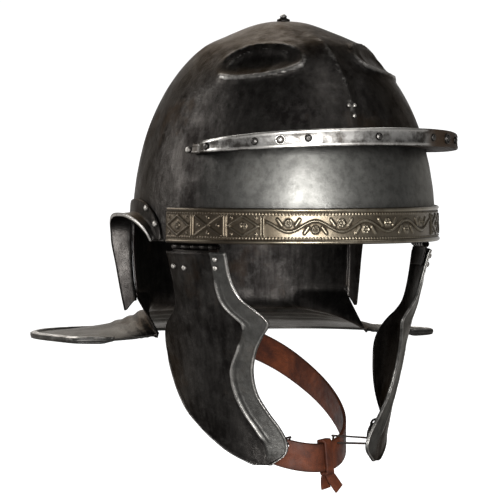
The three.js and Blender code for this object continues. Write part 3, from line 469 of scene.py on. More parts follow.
def make_bowl():
    """One plate: columns from the crown to the rim and ear openings, and runs on to the neck guard."""
    row_count, nape_rows = 100, 62
    angles, lows = skull_columns(82, 34, 56)
    lowest = np.arcsin((np.maximum(lows, 0) / HEIGHT) ** (FULLNESS / 2))
    share = (np.arange(1, row_count + 1) / row_count)[:, None]
    turn = mix(math.pi / 2, lowest[None], share)
    z = HEIGHT * np.sin(turn) ** (2 / FULLNESS)
    z[-1] = lows
    angle = np.broadcast_to(angles, z.shape)
    points = on_skull(angle, z)
    relief, sharp = skull_relief(angle, z)
    crown = np.array([[0, 0, HEIGHT]])
    index = net_of(points) + 1
    after = np.roll(index[0], -1)
    quads = [net_faces(index, True), np.stack([index[0] * 0, index[0], after, after], -1)]
    behind = np.abs(angles) > math.radians(EAR["rear"]) - 1e-6
    order = np.where(behind)[0]
    key = np.where(angles[order] > 0, angles[order] - 2 * math.pi, angles[order])
    order = order[np.argsort(-key)]
    runs = nape_runs(angles[order], nape_rows)
    start = 1 + index.size
    quads.append(net_faces(np.concatenate([index[-1][order][None], start + net_of(runs)])))
    everything = np.concatenate([crown, points.reshape(-1, 3), runs[..., :3].reshape(-1, 3)])
    extra = runs[..., 3].reshape(-1)
    still = np.zeros(len(extra))
    height = np.concatenate([[0], relief.reshape(-1), extra])
    dents = 0.28 * wander(everything, 26, 1) + 0.1 * wander(everything, 9, 2)
    edge_fade = np.concatenate([[1], smoothstep(z - lows, 0, 8).reshape(-1), still + 0.5])
    outer = height + dents * edge_fade
    inner = WALL - np.concatenate([[0], relief.reshape(-1), -extra]) - dents * edge_fade
    zz, aa = z.reshape(-1), np.degrees(np.abs(angle)).reshape(-1)
    # Lighter zone above the band: partly polish, partly a painted reflection of the key lamp, cut off under
    # the brow guard where its shadow falls.
    polish = between(zz, 17, 30, 56, 74) * (1 - smoothstep(aa, 38, 70))
    free_edge = np.broadcast_to(np.abs(angles) < math.radians(EAR["rear"]) - 1e-6, z.shape).reshape(-1)
    rim_wear = 0.5 * free_edge * (1 - smoothstep((z - lows).reshape(-1), 0, 1.5))
    roll = smoothstep(extra, 0.2, 1.4)
    down = np.repeat(np.arange(nape_rows) / (nape_rows - 1), runs.shape[1])
    ribbed = 0.35 * bump_at(down, 0.42, 0.1)
    # Painted light: the neck guard's upper face is lighter, as if lit from the sky above.
    painted_wing_light = 0.3 * smoothstep(down, 0.3, 0.6)
    wear = np.concatenate([[0.5], np.maximum(sharp.reshape(-1), rim_wear), np.maximum(roll * 0.8, ribbed)])
    attributes = {"wear": wear, "polish": np.concatenate([[0], polish, painted_wing_light])}
    return shell("bowl_skull", everything, outer, inner, attributes, quads=np.concatenate(quads))


# The brow guard

def brow_at(degrees):
    """How open the brow guard stands, its lowest height and how tall it is."""
    share = np.minimum(np.abs(degrees) / BROW["end"], 1)
    tall = BROW["height"] * (1 - BROW["taper"] * share**3)
    lowest = BROW["middle"] - tall / 2 - BROW["end_fall"] * share**2
    return np.sqrt(np.maximum(1 - share**4, 0)), lowest, tall


def brow_point(degrees, out, z, reference):
    angle = np.radians(degrees)
    flat = skull_normal(angle, reference)
    flat[..., 2] = 0
    place = on_skull(angle, reference) + unit(flat) * np.asarray(out)[..., None]
    place[..., 2] = z
    return place


def brow_face(degrees, up, out=0.0):
    """A place on the front face of the brow guard."""
    degrees = np.asarray(degrees, float)
    is_open, lowest, tall = brow_at(degrees)
    z = lowest + tall * up
    seated = GAP + BROW["wall"] * 1.4
    return brow_point(degrees, mix(seated, BROW["stand_off"], is_open) + out, z, mix(z, lowest, is_open))


def make_brow_guard():
    last = BROW["end"] + BROW["tab"]
    degrees = last * np.sin(np.linspace(math.pi / 2, -math.pi / 2, 241))
    _, lowest, height = brow_at(degrees)
    wall, corner = BROW["wall"], 0.6

    def inner(z):
        return brow_point(degrees, GAP, z, z)

    def shelf(start, end, shares, z):
        between = [mix(start, end, t) for t in shares]
        for place in between:
            place[:, 2] = z
        return between

    # Round the bar from the lower front edge: share of its height, steps up and out, and wear
    chamfer = corner * 0.3
    outline = [
        (0, 0, -corner, 0), (0, chamfer, -chamfer, 0), (0, corner, 0, 0.7), (0, 1.6, 0.28, 1),
        (0, 2.3, 0, 0.5), (0.5, 0, -0.12, 0), (1, -2.3, 0, 0.5), (1, -1.6, 0.28, 1), (1, -corner, 0, 0.8),
        (1, -chamfer, -chamfer, 0.9), (1, 0, -corner, 0.7), (1, 0, -wall + corner, 0),
        (1, -chamfer, -wall + chamfer, 0), (1, -corner, -wall, 0), (0.5, 0, -wall, 0),
        (0, wall + 1.2, -wall, 0), (0, wall + 0.3, -wall - 0.4, 0),
    ]
    section = [brow_face(degrees, (height * share + up) / height, out) for share, up, out, _ in outline]
    tail = [inner(lowest + wall), inner(lowest + wall / 2), inner(lowest)]
    shelf_top = shelf(section[-1], tail[0], (0.06, 0.25, 0.5, 0.75), lowest + wall)
    shelf_low = shelf(tail[-1], section[0], (0.25, 0.5, 0.75, 0.94), lowest)
    rings = np.array([*section, *shelf_top, *tail, *shelf_low])
    rings = np.swapaxes(rings, 0, 1)
    rings[..., 2] += wander(rings, 22, 5) * 0.22
    size = rings.shape[1]
    worn, front_face = np.zeros(size), np.zeros(size)
    worn[:len(outline)] = [wear for *_, wear in outline]
    front_face[1:12] = 1
    # Painted light and shade: wear and polish show on the front stretch facing the lamps, partly as a painted
    # highlight; the far arm is painted dark brown, partly rust and partly painted shade.
    bright = 0.06 + 0.94 * smoothstep(degrees, -25, -16) * (1 - 0.55 * smoothstep(degrees, 52, 62))
    rusty = np.repeat((1 - bright) * (degrees < 0), size)
    shown = {"wear": bright[:, None] * worn, "polish": bright[:, None] * front_face, "rusty": rusty}
    return tubed("brow_guard_bar", rings, attributes=shown)


def stud_seat(degrees):
    """Where a stud sits on the brow guard, and the way it looks."""
    near = brow_face(degrees + 1, 0.5) - brow_face(degrees - 1, 0.5)
    near[2] = 0
    near = unit(near)
    square = np.array([near[1], -near[0], 0])
    outward = skull_normal(math.radians(degrees), BROW["middle"])
    if square @ outward < 0:
        square = -square
    return brow_face(degrees, 0.5) + square * GAP, square


# The brow band

def line(x, centre, width):
    """A raised half-round line, as a height from 0 to 1."""
    return np.sqrt(np.clip(1 - ((x - centre) / width) ** 2, 0, 1))


def most(*heights):
    return np.maximum.reduce(np.broadcast_arrays(*heights))


def dot(u, v, centre_u, centre_v, radius):
    return line(np.hypot(u - centre_u, v - centre_v), 0, radius)


def rosette(u, v, centre_u, centre_v, radius, petals):
    du, dv = u - centre_u, v - centre_v
    reach, turn = np.hypot(du, dv) / radius, np.arctan2(dv, du)
    ring = np.clip(1 - np.abs(reach - 0.58) / 0.36, 0, 1)
    petal = ring * (0.35 + 0.65 * np.abs(np.cos(turn * petals / 2)) ** 0.7)
    return np.maximum(petal, line(reach, 0, 0.24))


def segment(u, v, start, end, width):
    """A raised line between two points."""
    (au, av), (bu, bv) = start, end
    length = math.hypot(bu - au, bv - av)
    du, dv = (bu - au) / length, (bv - av) / length
    along = np.clip((u - au) * du + (v - av) * dv, 0, length)
    return line(np.hypot(u - au - along * du, v - av - along * dv), 0, width)


def band_height(u, v):
    """The traditional ornament of the band: beads, dividers, a garland, lozenges and rosettes."""
    top = BAND["height"]
    middle = top / 2
    side = np.abs(u)
    height = 0.95 * np.maximum(line(v, 1.5, 1.35), line(v, top - 1.5, 1.35))
    milled = 0.55 + 0.45 * np.cos(u * 2 * math.pi / 2.3)
    height = np.maximum(height, 0.5 * milled * np.maximum(line(v, 4.1, 0.75), line(v, top - 4.1, 0.75)))
    inside = between(v, 4.9, 5.3, top - 5.3, top - 4.9)
    divider, panel, wave_length, wave = 71.0, 27.0, 35.5, 3.6
    phase = 2 * math.pi * u / wave_length
    stem = middle + wave * np.cos(phase)
    slope = np.hypot(1, wave * 2 * math.pi / wave_length * np.sin(phase))
    in_garland = 1 - smoothstep(side, divider - 3.0, divider - 2.2)
    shapes = [0.8 * line((v - stem) / slope, 0, 0.75) * in_garland]
    for k in range(5):
        at = divider + panel * k
        shapes.append(0.75 * np.maximum(line(side, at - 0.9, 0.6), line(side, at + 0.9, 0.6)))
    for k in range(-3, 4):
        centre = k * wave_length / 2
        way = 1 if k % 2 else -1
        shapes.append(0.95 * rosette(u, v, centre, middle + way * 2.2, 3.5, 6))
        for lean in (-1, 1):
            start = (centre + lean * 4.6, middle + way * 0.6)
            shapes.append(0.7 * segment(u, v, start, (centre + lean * 7.4, middle + way * 4.6), 1.15))
    low, high = 5.6, top - 5.6
    for k in range(4):
        left, right = divider + panel * k + 2.6, divider + panel * (k + 1) - 2.6
        centre = (left + right) / 2
        if k % 2 == 0:
            corners = [(centre, high), (right, middle), (centre, low), (left, middle)]
            bars = list(zip(corners, corners[1:] + corners[:1]))
            shapes.append(rosette(side, v, centre, middle, 2.9, 4))
            dots = [(x, y) for x in (left + 2.2, right - 2.2) for y in (low + 1.2, high - 1.2)]
            size, lift = 0.95, 0.7
        else:
            bars = [((left, low), (right, high)), ((left, high), (right, low))]
            dots = [(centre, low + 1.4), (centre, high - 1.4), (left + 3, middle), (right - 3, middle)]
            size, lift = 1.3, 0.75
        shapes += [0.8 * segment(side, v, *ends, 0.8) for ends in bars]
        shapes += [lift * dot(side, v, *place, size) for place in dots]
    return np.maximum(height, most(*shapes) * inside)


def make_band():
    columns, rows = 880, 46
    degrees = np.linspace(BAND["end"], -BAND["end"], columns)
    v = np.linspace(BAND["height"], 0, rows)
    rim_points = on_skull(np.radians(degrees), 0.0)
    steps = np.linalg.norm(np.diff(rim_points, axis=0), axis=1)
    u = np.concatenate([[0], np.cumsum(steps)])
    end = u[-1] / 2
    uu, vv = np.meshgrid(end - u, v)
    height = band_height(uu, vv)
    points = on_skull(np.radians(np.meshgrid(degrees, v)[0]), vv, GAP * np.ones_like(vv))
    worn = 0.12 * wander(points, 14, 7)
    blurred = height
    for axis, reach in ((0, 3), (1, 5)):
        spread = [np.roll(blurred, k, axis) for k in range(-reach, reach + 1)]
        blurred = np.mean(spread, 0)
    dirt = smoothstep(blurred - height, 0.06, 0.32)
    outer = BAND["wall"] + BAND["relief"] * height * (0.86 + 0.5 * worn) + worn
    hold = smoothstep(end - np.abs(uu), 0, 2)
    outer = outer * hold + (1 - hold) * BAND["wall"]
    # Darker towards both ends of the band.
    tarnish = 0.12 + 0.86 * smoothstep(np.abs(uu), 45, 104)
    shown = {"cavity": 1 - dirt, "raised": height, "tarnish": tarnish}
    return shell("brow_band_brass", points, outer, uu * 0, shown, rim=3)


# The ear guards

def ear_edge(along):
    """The angle and height along the edge that an ear guard follows, down to the neck guard."""
    arch = 0.6
    angle, z = ear_arch(np.minimum(along / arch, 1.0))
    beyond = along > arch
    down = mix(0, -NAPE["depth"], (along - arch) / (1 - arch))
    return np.where(beyond, math.radians(EAR["rear"]), angle), np.where(beyond, down, z)


def make_ear_guard():
    half = EAR_GUARD["wall"] / 2
    seat = GAP + half
    along = 0.99 * (1 - np.linspace(0, 1, 110))
    angle, z = ear_edge(along)
    before, after = ear_edge(np.maximum(along - 0.012, 0)), ear_edge(along + 0.012)
    point = on_skull(angle, z)
    outward = skull_normal(angle, z)
    run = unit(on_skull(*after) - on_skull(*before))
    aside = unit(np.cross(run, outward))
    table = follow(EAR_FLANGE, along)
    out = np.maximum(EAR_GUARD["depth"] * table[:, 1], seat + 3)

    def step(sideways, outwards):
        return point + aside * np.reshape(sideways, (-1, 1)) + outward * np.reshape(outwards, (-1, 1))

    def on(place, reach):
        at = np.arctan2(-place[:, 0] / HALF_WIDTH, -place[:, 1] / HALF_LENGTH)
        return on_skull(at, place[:, 2], reach)

    foot = EAR_GUARD["foot"] * table[:, 2]
    rows = np.array([
        on(step(foot, 0), seat), on(step(foot * 0.6, 0), seat), on(step(2.2, 0), seat), step(0.2, seat + 0.7),
        step(-0.8, mix(seat, out, 0.5)), step(-1.4, out - 1), step(-1.6, out + 0.8),
    ])
    share = np.array([0, 0, 0, 0, 0.5, 1, 1])
    rows[..., 2] -= EAR_GUARD["sag"] * share[:, None] * table[:, 3]
    points = resample(rows, 40)
    at = np.linspace(0, 1, 40)
    thick = np.repeat(mix(half, EAR_GUARD["bead"], smoothstep(at, 0.86, 0.97)), len(along))
    worn = np.repeat(smoothstep(at, 0.85, 0.95), len(along))
    return shell("ear_guard_flange_right", points, thick, thick, {"wear": worn}, rim=6)


# The cheek guards

def cheek_radii(z):
    up = np.clip(1 - (-CHEEK["top"] - z) / CHEEK["height"], 0, 1.1)
    across = mix(CHEEK["bottom_radius"], HALF_WIDTH - CHEEK["inset"], up)
    return across, mix(CHEEK["bottom_radius"], HALF_LENGTH - CHEEK["inset"], up ** CHEEK["taper"])


def on_cheek(degrees, z, out=0.0):
    """A place on a cheek guard's face and the way out from it."""
    angle, z = np.broadcast_arrays(np.radians(degrees), np.asarray(z, float))

    def place(height):
        across, along = cheek_radii(height)
        return np.stack([-across * np.sin(angle), -along * np.cos(angle), height], -1)

    across, along = cheek_radii(z)
    upward = place(z + 0.5) - place(z - 0.5)
    round_ = np.stack([-across * np.cos(angle), along * np.sin(angle), z * 0], -1)
    outward = unit(np.cross(upward, round_))
    wrong = np.einsum("...i,...i->...", outward, place(z) * [1, 1, 0]) < 0
    outward = np.where(wrong[..., None], -outward, outward)
    return place(z) + outward * np.asarray(out)[..., None], outward


def make_cheek_guard():
    rows, columns = 210, 104
    down = np.linspace(0, 1, rows)
    outline = follow(CHEEK_OUTLINE, down)
    front, ridge, rear = (outline[:, k][:, None] for k in (1, 2, 3))
    at = mix(rear, front, np.linspace(0, 1, columns)[None])
    z = np.broadcast_to(-CHEEK["top"] - CHEEK["height"] * down[:, None], at.shape)
    points, _ = on_cheek(at, z)
    across, along = cheek_radii(z)
    per_degree = math.pi / 180 * np.hypot(across * np.cos(np.radians(at)), along * np.sin(np.radians(at)))
    deep = down[:, None]
    from_front, from_rear = (at - front) * per_degree, (rear - at) * per_degree
    from_ridge = (at - ridge) * per_degree
    upper = between(deep, 0.1, 0.16, 0.345, 0.375)
    lower = between(deep, 0.41, 0.445, 0.86, 0.9)
    low_fade = 1 - smoothstep(deep, 0.93, 0.99)
    plateau = 0.5 * low_fade * (1 - smoothstep(from_ridge, -0.8, 0.9))
    rim_bead = bump_at(from_front, 1.1, 1.35)
    ridges = np.maximum(bump_at(from_ridge, -0.2, 1.25), 0.3 * bump_at(from_ridge, -4.4, 0.8))
    ridge_bead = np.maximum(upper, lower) * ridges
    rear_bead = smoothstep(deep, 0.42, 0.56) * bump_at(from_rear, 2.6, 1.1)
    hollow = between(from_ridge, 1, 6, 12, 26) * smoothstep(deep, 0.05, 0.2)
    swell = 0.3 * smoothstep(from_rear, 3, 12) * smoothstep(from_ridge, 4, 14)
    rise = np.maximum(plateau + 0.62 * ridge_bead, rim_bead)
    rise = np.maximum(rise, 0.8 * rear_bead) + swell - 0.22 * hollow * low_fade
    sway = 0.22 * wander(points, 24, 9) + 0.07 * wander(points, 8, 10)
    top_flange = bump_at(deep * CHEEK["height"], 1.0, 1.3) * 0.35
    outer = CHEEK["relief"] * (rise + top_flange) + sway
    inner = CHEEK["wall"] - np.minimum(outer, CHEEK["relief"] * 1.05)
    wear = most(rim_bead * 0.9, ridge_bead * 0.95, rear_bead * 0.8, top_flange)
    # The border in front of the ridge is painted lighter: partly polish, partly a painted reflection, because
    # it faces the lamps more than the field does.
    border = (0.5 + 0.12 * wander(points, 3, 12)) * smoothstep(plateau, 0, 0.4)
    return shell("cheek_guard_plate_right", points, outer, inner, {"wear": wear, "polish": border}, rim=5)


def cheek_rise(degrees, drop):
    """How far the field of a cheek guard stands out where a rivet sits."""
    outline = follow(CHEEK_OUTLINE, (drop - CHEEK["top"]) / CHEEK["height"])[0]
    return CHEEK["relief"] * (0.5 if degrees < outline[2] else 0.2)


# The hinges

def hinge_line(share):
    """A place along the axis of the hinge."""
    inset = -(CHEEK["wall"] + GAP + HINGE["leaf"] / 2)
    ends = []
    for degrees in (HINGE["start"], HINGE["end"]):
        place, _ = on_cheek(degrees, -CHEEK["top"], inset)
        place[2] = -HINGE["drop"]
        ends.append(place)
    return ends[0] + (ends[1] - ends[0]) * share


def rod(name, start, end, radius, sides, bevel=0.25):
    """A round rod with softened ends."""
    axis = end - start
    length = np.linalg.norm(axis)
    outline = [[radius - bevel, 0], [radius, bevel], [radius, length - bevel], [radius - bevel, length]]
    return lathe(name, outline, start, axis, sides)


def join(name, parts):
    """One piece from several."""
    vertices, faces, attributes, offset = [], [], {}, 0
    layers = [layer for part in parts for layer in part.data.attributes]
    keys = sorted({layer.name for layer in layers if layer.data_type == "FLOAT"})
    for part in parts:
        mesh = part.data
        vertices.append(places(mesh))
        faces += [[offset + i for i in polygon.vertices] for polygon in mesh.polygons]
        for key in keys:
            values = np.zeros(len(mesh.vertices))
            if key in mesh.attributes:
                mesh.attributes[key].data.foreach_get("value", values)
            attributes.setdefault(key, []).append(values)
        offset += len(mesh.vertices)
    placed = np.concatenate(vertices) / MM + [0, 0, LOWERED]
    joined = make_object(name, placed, faces, {k: np.concatenate(v) for k, v in attributes.items()})
    for part in parts:
        bpy.data.objects.remove(part)
    return joined


def hinge_leaf(up):
    half = HINGE["leaf"] / 2
    share = 1 - np.linspace(0, 1, 40)
    degrees = mix(HINGE["start"], HINGE["end"], share)
    first = np.array([hinge_line(s) for s in share])
    near = first.copy()
    first[:, 2] += up * 0.8
    near[:, 2] += up * (HINGE["radius"] - 0.4)

    def seated(z):
        if up > 0:
            return on_skull(np.radians(degrees), z, degrees * 0 - (WALL + GAP + half))
        return on_cheek(degrees, z, degrees * 0 - (CHEEK["wall"] + GAP + half))[0]

    edge = RIM + 2 if up > 0 else -CHEEK["top"] - 1.5
    rows = np.array([first, near, seated(edge), seated(edge + up * (HINGE["reach"] - 3))])
    points = resample(rows, 14)
    thick = np.full(points.shape[:2], half)
    return shell("leaf", points, thick, thick, {})


def make_hinge():
    count = HINGE["knuckles"]
    clear = GAP / np.linalg.norm(hinge_line(1) - hinge_line(0))
    halves = {}
    for name, up, first in (("upper", 1, 0), ("lower", -1, 1)):
        parts = [hinge_leaf(up)]
        for i in range(first, count, 2):
            start, end = hinge_line(i / count + clear / 2), hinge_line((i + 1) / count - clear / 2)
            parts.append(rod("knuckle", start, end, HINGE["radius"], 24, 0.35))
        halves[name] = join(f"hinge_half_{name}_right", parts)
    pin = rod("hinge_rod_right", hinge_line(-0.03), hinge_line(1.03), HINGE["pin"], 16)
    return halves["upper"], halves["lower"], pin


# The chin strap and its ties

def on_strap(turn):
    """A place on the strap's centre line, with the ways out, up and along."""
    turn = np.asarray(turn, float)
    middle, half_depth = (STRAP["throat"] + STRAP["back"]) / 2, (STRAP["back"] - STRAP["throat"]) / 2

    def place(t):
        z = mix(-STRAP["throat_drop"], -STRAP["back_drop"], (1 - np.cos(t)) / 2)
        return np.stack([-STRAP["half_width"] * np.sin(t), middle - half_depth * np.cos(t), z], -1)

    tangent = unit(place(turn + 0.01) - place(turn - 0.01))
    outward = unit(np.stack([tangent[..., 1], -tangent[..., 0], tangent[..., 0] * 0], -1))
    flat = np.stack([-np.sin(turn), -np.cos(turn), turn * 0], -1)
    outward = np.where((np.einsum("...i,...i->...", outward, flat) < 0)[..., None], -outward, outward)
    up = unit(np.cross(outward, tangent))
    up = np.where((up[..., 2] < 0)[..., None], -up, up)
    return place(turn), outward, up, tangent


def tie_frame():
    """Where the ring hangs: its staple's seat, the ways in, down and aside, and its centre."""
    point, outward = on_cheek(TIE["angle"], -TIE["drop"], -CHEEK["wall"])
    inward = -outward
    lower, _ = on_cheek(TIE["angle"], -TIE["drop"] - TIE["staple"], -CHEEK["wall"])
    down = unit(lower - point)
    aside = unit(np.cross(inward, down))
    ring_top = point + inward * (GAP + TIE["wire"] * 2)
    return point, inward, down, aside, ring_top + down * TIE["ring"]


def strap_hole():
    point, outward, up, _ = on_strap(math.radians(TIE["turn"]))
    return point + up * (STRAP["width"] / 2 - TIE["hole_edge"]), outward, up


def make_strap():
    """The strap as a closed band: a rounded section carried round the neck, with punched holes."""
    count = 300
    turn = -2 * math.pi * np.arange(count) / count
    point, outward, up, _ = on_strap(turn)
    half_width, half = STRAP["width"] / 2, STRAP["thickness"] / 2
    edge, stitched = STRAP["edge"], half_width - STRAP["stitch_inset"]
    flat = half_width - edge
    section = [(1.0, mix(flat, -flat, k / 8)) for k in range(9)]
    for k in range(1, 5):
        bend = math.pi / 2 * k / 5
        section.append((math.cos(bend), -flat - edge * math.sin(bend)))
    section.append((0.0, -half_width))
    section += [(-out, -high) for out, high in section]
    stretch = 0.25 * (0.35 * np.sin(turn * 5 + 0.7) + 0.2 * np.sin(turn * 11))
    rings = []
    for out, high in section:
        groove = 0.22 * bump_at(abs(high), stitched, 0.5) * np.sign(out) * (out > 0.5)
        rings.append(point + outward * (half * out - groove) + up * (high + stretch[:, None]))
    worn = bump_at(np.abs([high for _, high in section]), half_width, 1.2)
    obj = tubed("chin_strap_band", np.array(rings), True, {"wear": np.repeat(worn, count)})
    drills = []
    centre, direction, _ = strap_hole()
    reach = STRAP["thickness"] * 2 * direction
    for way in (1, -1):
        flip = np.array([way, 1, 1])
        start, end = (centre - reach) * flip, (centre + reach) * flip
        drills.append(rod("drill", start, end, TIE["hole"] * 0.95, 24, 0.05))
    drill = join("strap_drill", drills)
    cut = obj.modifiers.new("holes", "BOOLEAN")
    cut.object, cut.operation, cut.solver = drill, "DIFFERENCE", "EXACT"
    bpy.context.view_layer.update()
    evaluated = obj.evaluated_get(bpy.context.evaluated_depsgraph_get())
    mesh = bpy.data.meshes.new_from_object(evaluated)
    obj.modifiers.clear()
    obj.data = mesh
    mesh.shade_smooth()
    mesh.set_sharp_from_angle(angle=math.radians(50))
    bpy.data.objects.remove(drill)
    return obj


def thong_path():
    """The thong's closed run from the hole in the strap to the ring."""
    centre, _, up = strap_hole()
    _, _, down, _, ring_centre = tie_frame()
    ring_foot = ring_centre + down * TIE["ring"]
    edge = centre + up * (TIE["hole_edge"] / 2)
    along = ring_foot - edge
    length = np.linalg.norm(along)
    along = along / length
    over = unit(up - along * (up @ along))
    at_strap = TIE["hole_edge"] / 2 + TIE["thong"] + GAP, TIE["hole_edge"] / 2
    at_ring = TIE["wire"] + GAP + TIE["thong"]
    reach = GAP + TIE["thong"] + 0.2
    points = []
    for i in range(7):
        turn = math.pi / 2 + math.pi * i / 6
        rise = math.sin(turn)
        back = reach * math.cos(turn) - STRAP["thickness"] / 2
        points.append(edge + along * back + over * rise * (at_strap[0] if rise > 0 else at_strap[1]))
    for i in range(7):
        turn = -math.pi / 2 + math.pi * i / 6
        points.append(edge + along * (length + at_ring * math.cos(turn)) + over * at_ring * math.sin(turn))
    return smooth_loop(np.array(points), 8)


def make_thong():
    path = thong_path()
    wave = np.linspace(0, 2 * math.pi, len(path), endpoint=False)
    section = circle(TIE["thong"] * 0.97, 12)
    size = 1 + 0.08 * np.sin(wave * 9)
    return sweep("thong_loop_right", path, section[None] * size[:, None, None], closed=True)


def arc(centre, first, second, radius, count, start=0.0, end=2 * math.pi, closed=True):
    turn = np.linspace(start, end, count, endpoint=not closed)[:, None]
    return centre + first * np.cos(turn) * radius + second * np.sin(turn) * radius


def make_ring():
    _, _, down, aside, centre = tie_frame()
    path = arc(centre, down, aside, TIE["ring"], 64)
    return sweep("strap_ring_right", path, circle(TIE["wire"], 12), closed=True)


def make_staple():
    point, inward, down, _, _ = tie_frame()
    path = arc(point + inward * GAP, down, inward, TIE["staple"], 28, 0, math.pi, False)
    return sweep("ring_staple_right", path, circle(TIE["wire"] * 0.9, 12))


def rounded_section(half_width, half_height, radius, steps=4):
    """A rectangle with round corners, as (aside, up) points."""
    points = []
    for corner in range(4):
        centre_x = (half_width - radius) * (1 if corner in (0, 3) else -1)
        centre_y = (half_height - radius) * (1 if corner in (0, 1) else -1)
        for k in range(steps + 1):
            turn = math.pi / 2 * (corner + k / steps)
            points.append((centre_x + radius * math.cos(turn), centre_y + radius * math.sin(turn)))
    return np.array(points)


def make_knot():
    """A turn of strap round the strap, and two cut ends that hang from it."""
    point, outward, up, tangent = on_strap(-math.radians(KNOT["angle"]))
    side = np.cross(outward, up)
    inside = STRAP["thickness"] / 2 + KNOT["ease"]
    wall = KNOT["wall"]
    tall = STRAP["width"] / 2 + GAP
    loop = smooth_loop(rounded_section(tall + wall / 2, inside + wall / 2, KNOT["corner"], 8), 4)
    path = point + up * loop[:, :1] + outward * loop[:, 1:]
    around = np.linspace(0, 2 * math.pi, len(path), endpoint=False)
    lengths = KNOT["length"] / 2 * (0.86 + 0.12 * np.cos(2 * around + 0.6))
    sections = np.array([rounded_section(wall / 2 * 0.98, half, wall * 0.42, 4) for half in lengths])
    parts = [sweep("wrap", path, sections, closed=True, up=np.repeat(side[None], len(path), 0))]
    aim = tangent * (1 if tangent[0] > 0 else -1)
    for way in (-1, 1):
        start = point - up * (tall + wall * 0.3) + outward * way * 0.9
        heading = unit(aim * (0.45 + 0.3 * way) + outward * 0.12 * way + np.array([0, 0, -1]))
        across = unit(np.cross(heading, outward))
        deep = unit(np.cross(across, heading))
        length = KNOT["tail"] * (1 + 0.12 * way)
        t = np.linspace(0, 1, 30)[:, None]
        curl = deep * (0.55 * way * np.sin(t * 2.6)) + across * (0.5 * np.sin(t * 2.2))
        tail_path = start + heading * (length * t - 1) + curl
        taper = mix(0.72, 1.0, smoothstep(t[:, 0], 0, 0.4)) * KNOT["tail_width"] / 2
        sections = np.array([rounded_section(w, 0.8, 0.35, 3) for w in taper])
        parts.append(sweep("tail", tail_path, sections, up=np.repeat(deep[None], 30, 0)))
    return join("strap_knot_tie", parts)


def make_neck_staple():
    """Strip iron bent into a loop, with its foot under the neck guard."""
    point, _, _, _ = on_strap(math.pi)
    wall, width, ease, foot = STAPLE["wall"], STAPLE["width"], STAPLE["ease"], STAPLE["foot"]
    inside = STRAP["thickness"] / 2 + ease
    low, high = point[2] - STRAP["width"] / 2 - ease, point[2] + STRAP["width"] / 2 + ease
    half_out, half_up = inside + wall / 2, (high - low) / 2 + wall / 2
    loop = rounded_section(half_out, half_up, 1.2, 6)
    middle = np.array([point[0], point[1], (low + high) / 2])
    path = middle + np.stack([loop[:, 0] * 0, loop[:, 0], loop[:, 1]], -1)
    section = rounded_section(wall / 2, width / 2, 0.4, 3)
    side = np.repeat(np.array([[1.0, 0, 0]]), len(path), 0)
    parts = [sweep("loop", path, section, closed=True, up=side)]
    reach = inside + wall + foot
    foot_path = np.array([[point[0], point[1] + y, high + wall / 2] for y in np.linspace(-reach, reach, 12)])
    upward = np.repeat(np.array([[0.0, 0, 1]]), 12, 0)
    parts.append(sweep("foot", foot_path, rounded_section(width / 2, wall / 2, 0.4, 3), up=upward))
    return join("neck_staple_loop", parts)


# Materials

class Paint:
    """A small builder for one material's nodes."""

    def __init__(self, name, world=None):
        self.material = world or bpy.data.materials.new(name)
        self.material.use_nodes = True
        self.tree = self.material.node_tree
        self.shader = self.tree.nodes["Background" if world else "Principled BSDF"]
        seen_from = self.tree.nodes.new("ShaderNodeTexCoord").outputs
        self.place = seen_from["Generated" if world else "Object"]

    def node(self, kind, inputs=None, **settings):
        made = self.tree.nodes.new(kind)
        for key, value in settings.items():
            setattr(made, key, value)
        for key, value in (inputs or {}).items():
            self.feed(made.inputs[key], value)
        return made

    def feed(self, socket, value):
        if isinstance(value, bpy.types.NodeSocket):
            self.tree.links.new(value, socket)
        else:
            socket.default_value = value

    def noise(self, scale, detail=4.0, roughness=0.55, stretch=None, distortion=0.0):
        place = self.place
        if stretch:
            place = self.node("ShaderNodeMapping", {"Vector": place, "Scale": stretch}).outputs[0]
        inputs = {"Vector": place, "Scale": scale, "Detail": detail, "Roughness": roughness}
        made = self.node("ShaderNodeTexNoise", {**inputs, "Distortion": distortion})
        return made.outputs["Fac"]

    def cracks(self, scale):
        inputs = {"Vector": self.place, "Scale": scale}
        made = self.node("ShaderNodeTexVoronoi", inputs, feature="DISTANCE_TO_EDGE")
        return made.outputs["Distance"]

    def span(self, value, low, high, to_low=0.0, to_high=1.0):
        inputs = {"Value": value, "From Min": low, "From Max": high, "To Min": to_low, "To Max": to_high}
        return self.node("ShaderNodeMapRange", inputs, clamp=True).outputs[0]

    def math(self, operation, a, b):
        made = self.node("ShaderNodeMath", operation=operation)
        self.feed(made.inputs[0], a)
        self.feed(made.inputs[1], b)
        return made.outputs[0]

    def times(self, a, b):
        return self.math("MULTIPLY", a, b)

    def plus(self, a, b):
        return self.math("ADD", a, b)

    def less(self, a, b):
        return self.math("SUBTRACT", a, b)

    def blend(self, share, a, b):
        made = self.node("ShaderNodeMix", data_type="RGBA")
        self.feed(made.inputs[0], share)
        for socket, value in ((made.inputs[6], a), (made.inputs[7], b)):
            self.feed(socket, value if isinstance(value, bpy.types.NodeSocket) else (*value, 1.0))
        return made.outputs[2]

    def attribute(self, name):
        return self.node("ShaderNodeAttribute", attribute_name=name).outputs["Fac"]

    def bump(self, height, strength, distance, normal=None):
        inputs = {"Height": height, "Strength": strength, "Distance": distance}
        if normal is not None:
            inputs["Normal"] = normal
        return self.node("ShaderNodeBump", inputs).outputs[0]

    def finish(self, colour, roughness, normal, metallic):
        fed = {"Base Color": colour, "Roughness": roughness, "Normal": normal, "Metallic": metallic}
        for name, value in fed.items():
            self.feed(self.shader.inputs[name], value)
        return self.material


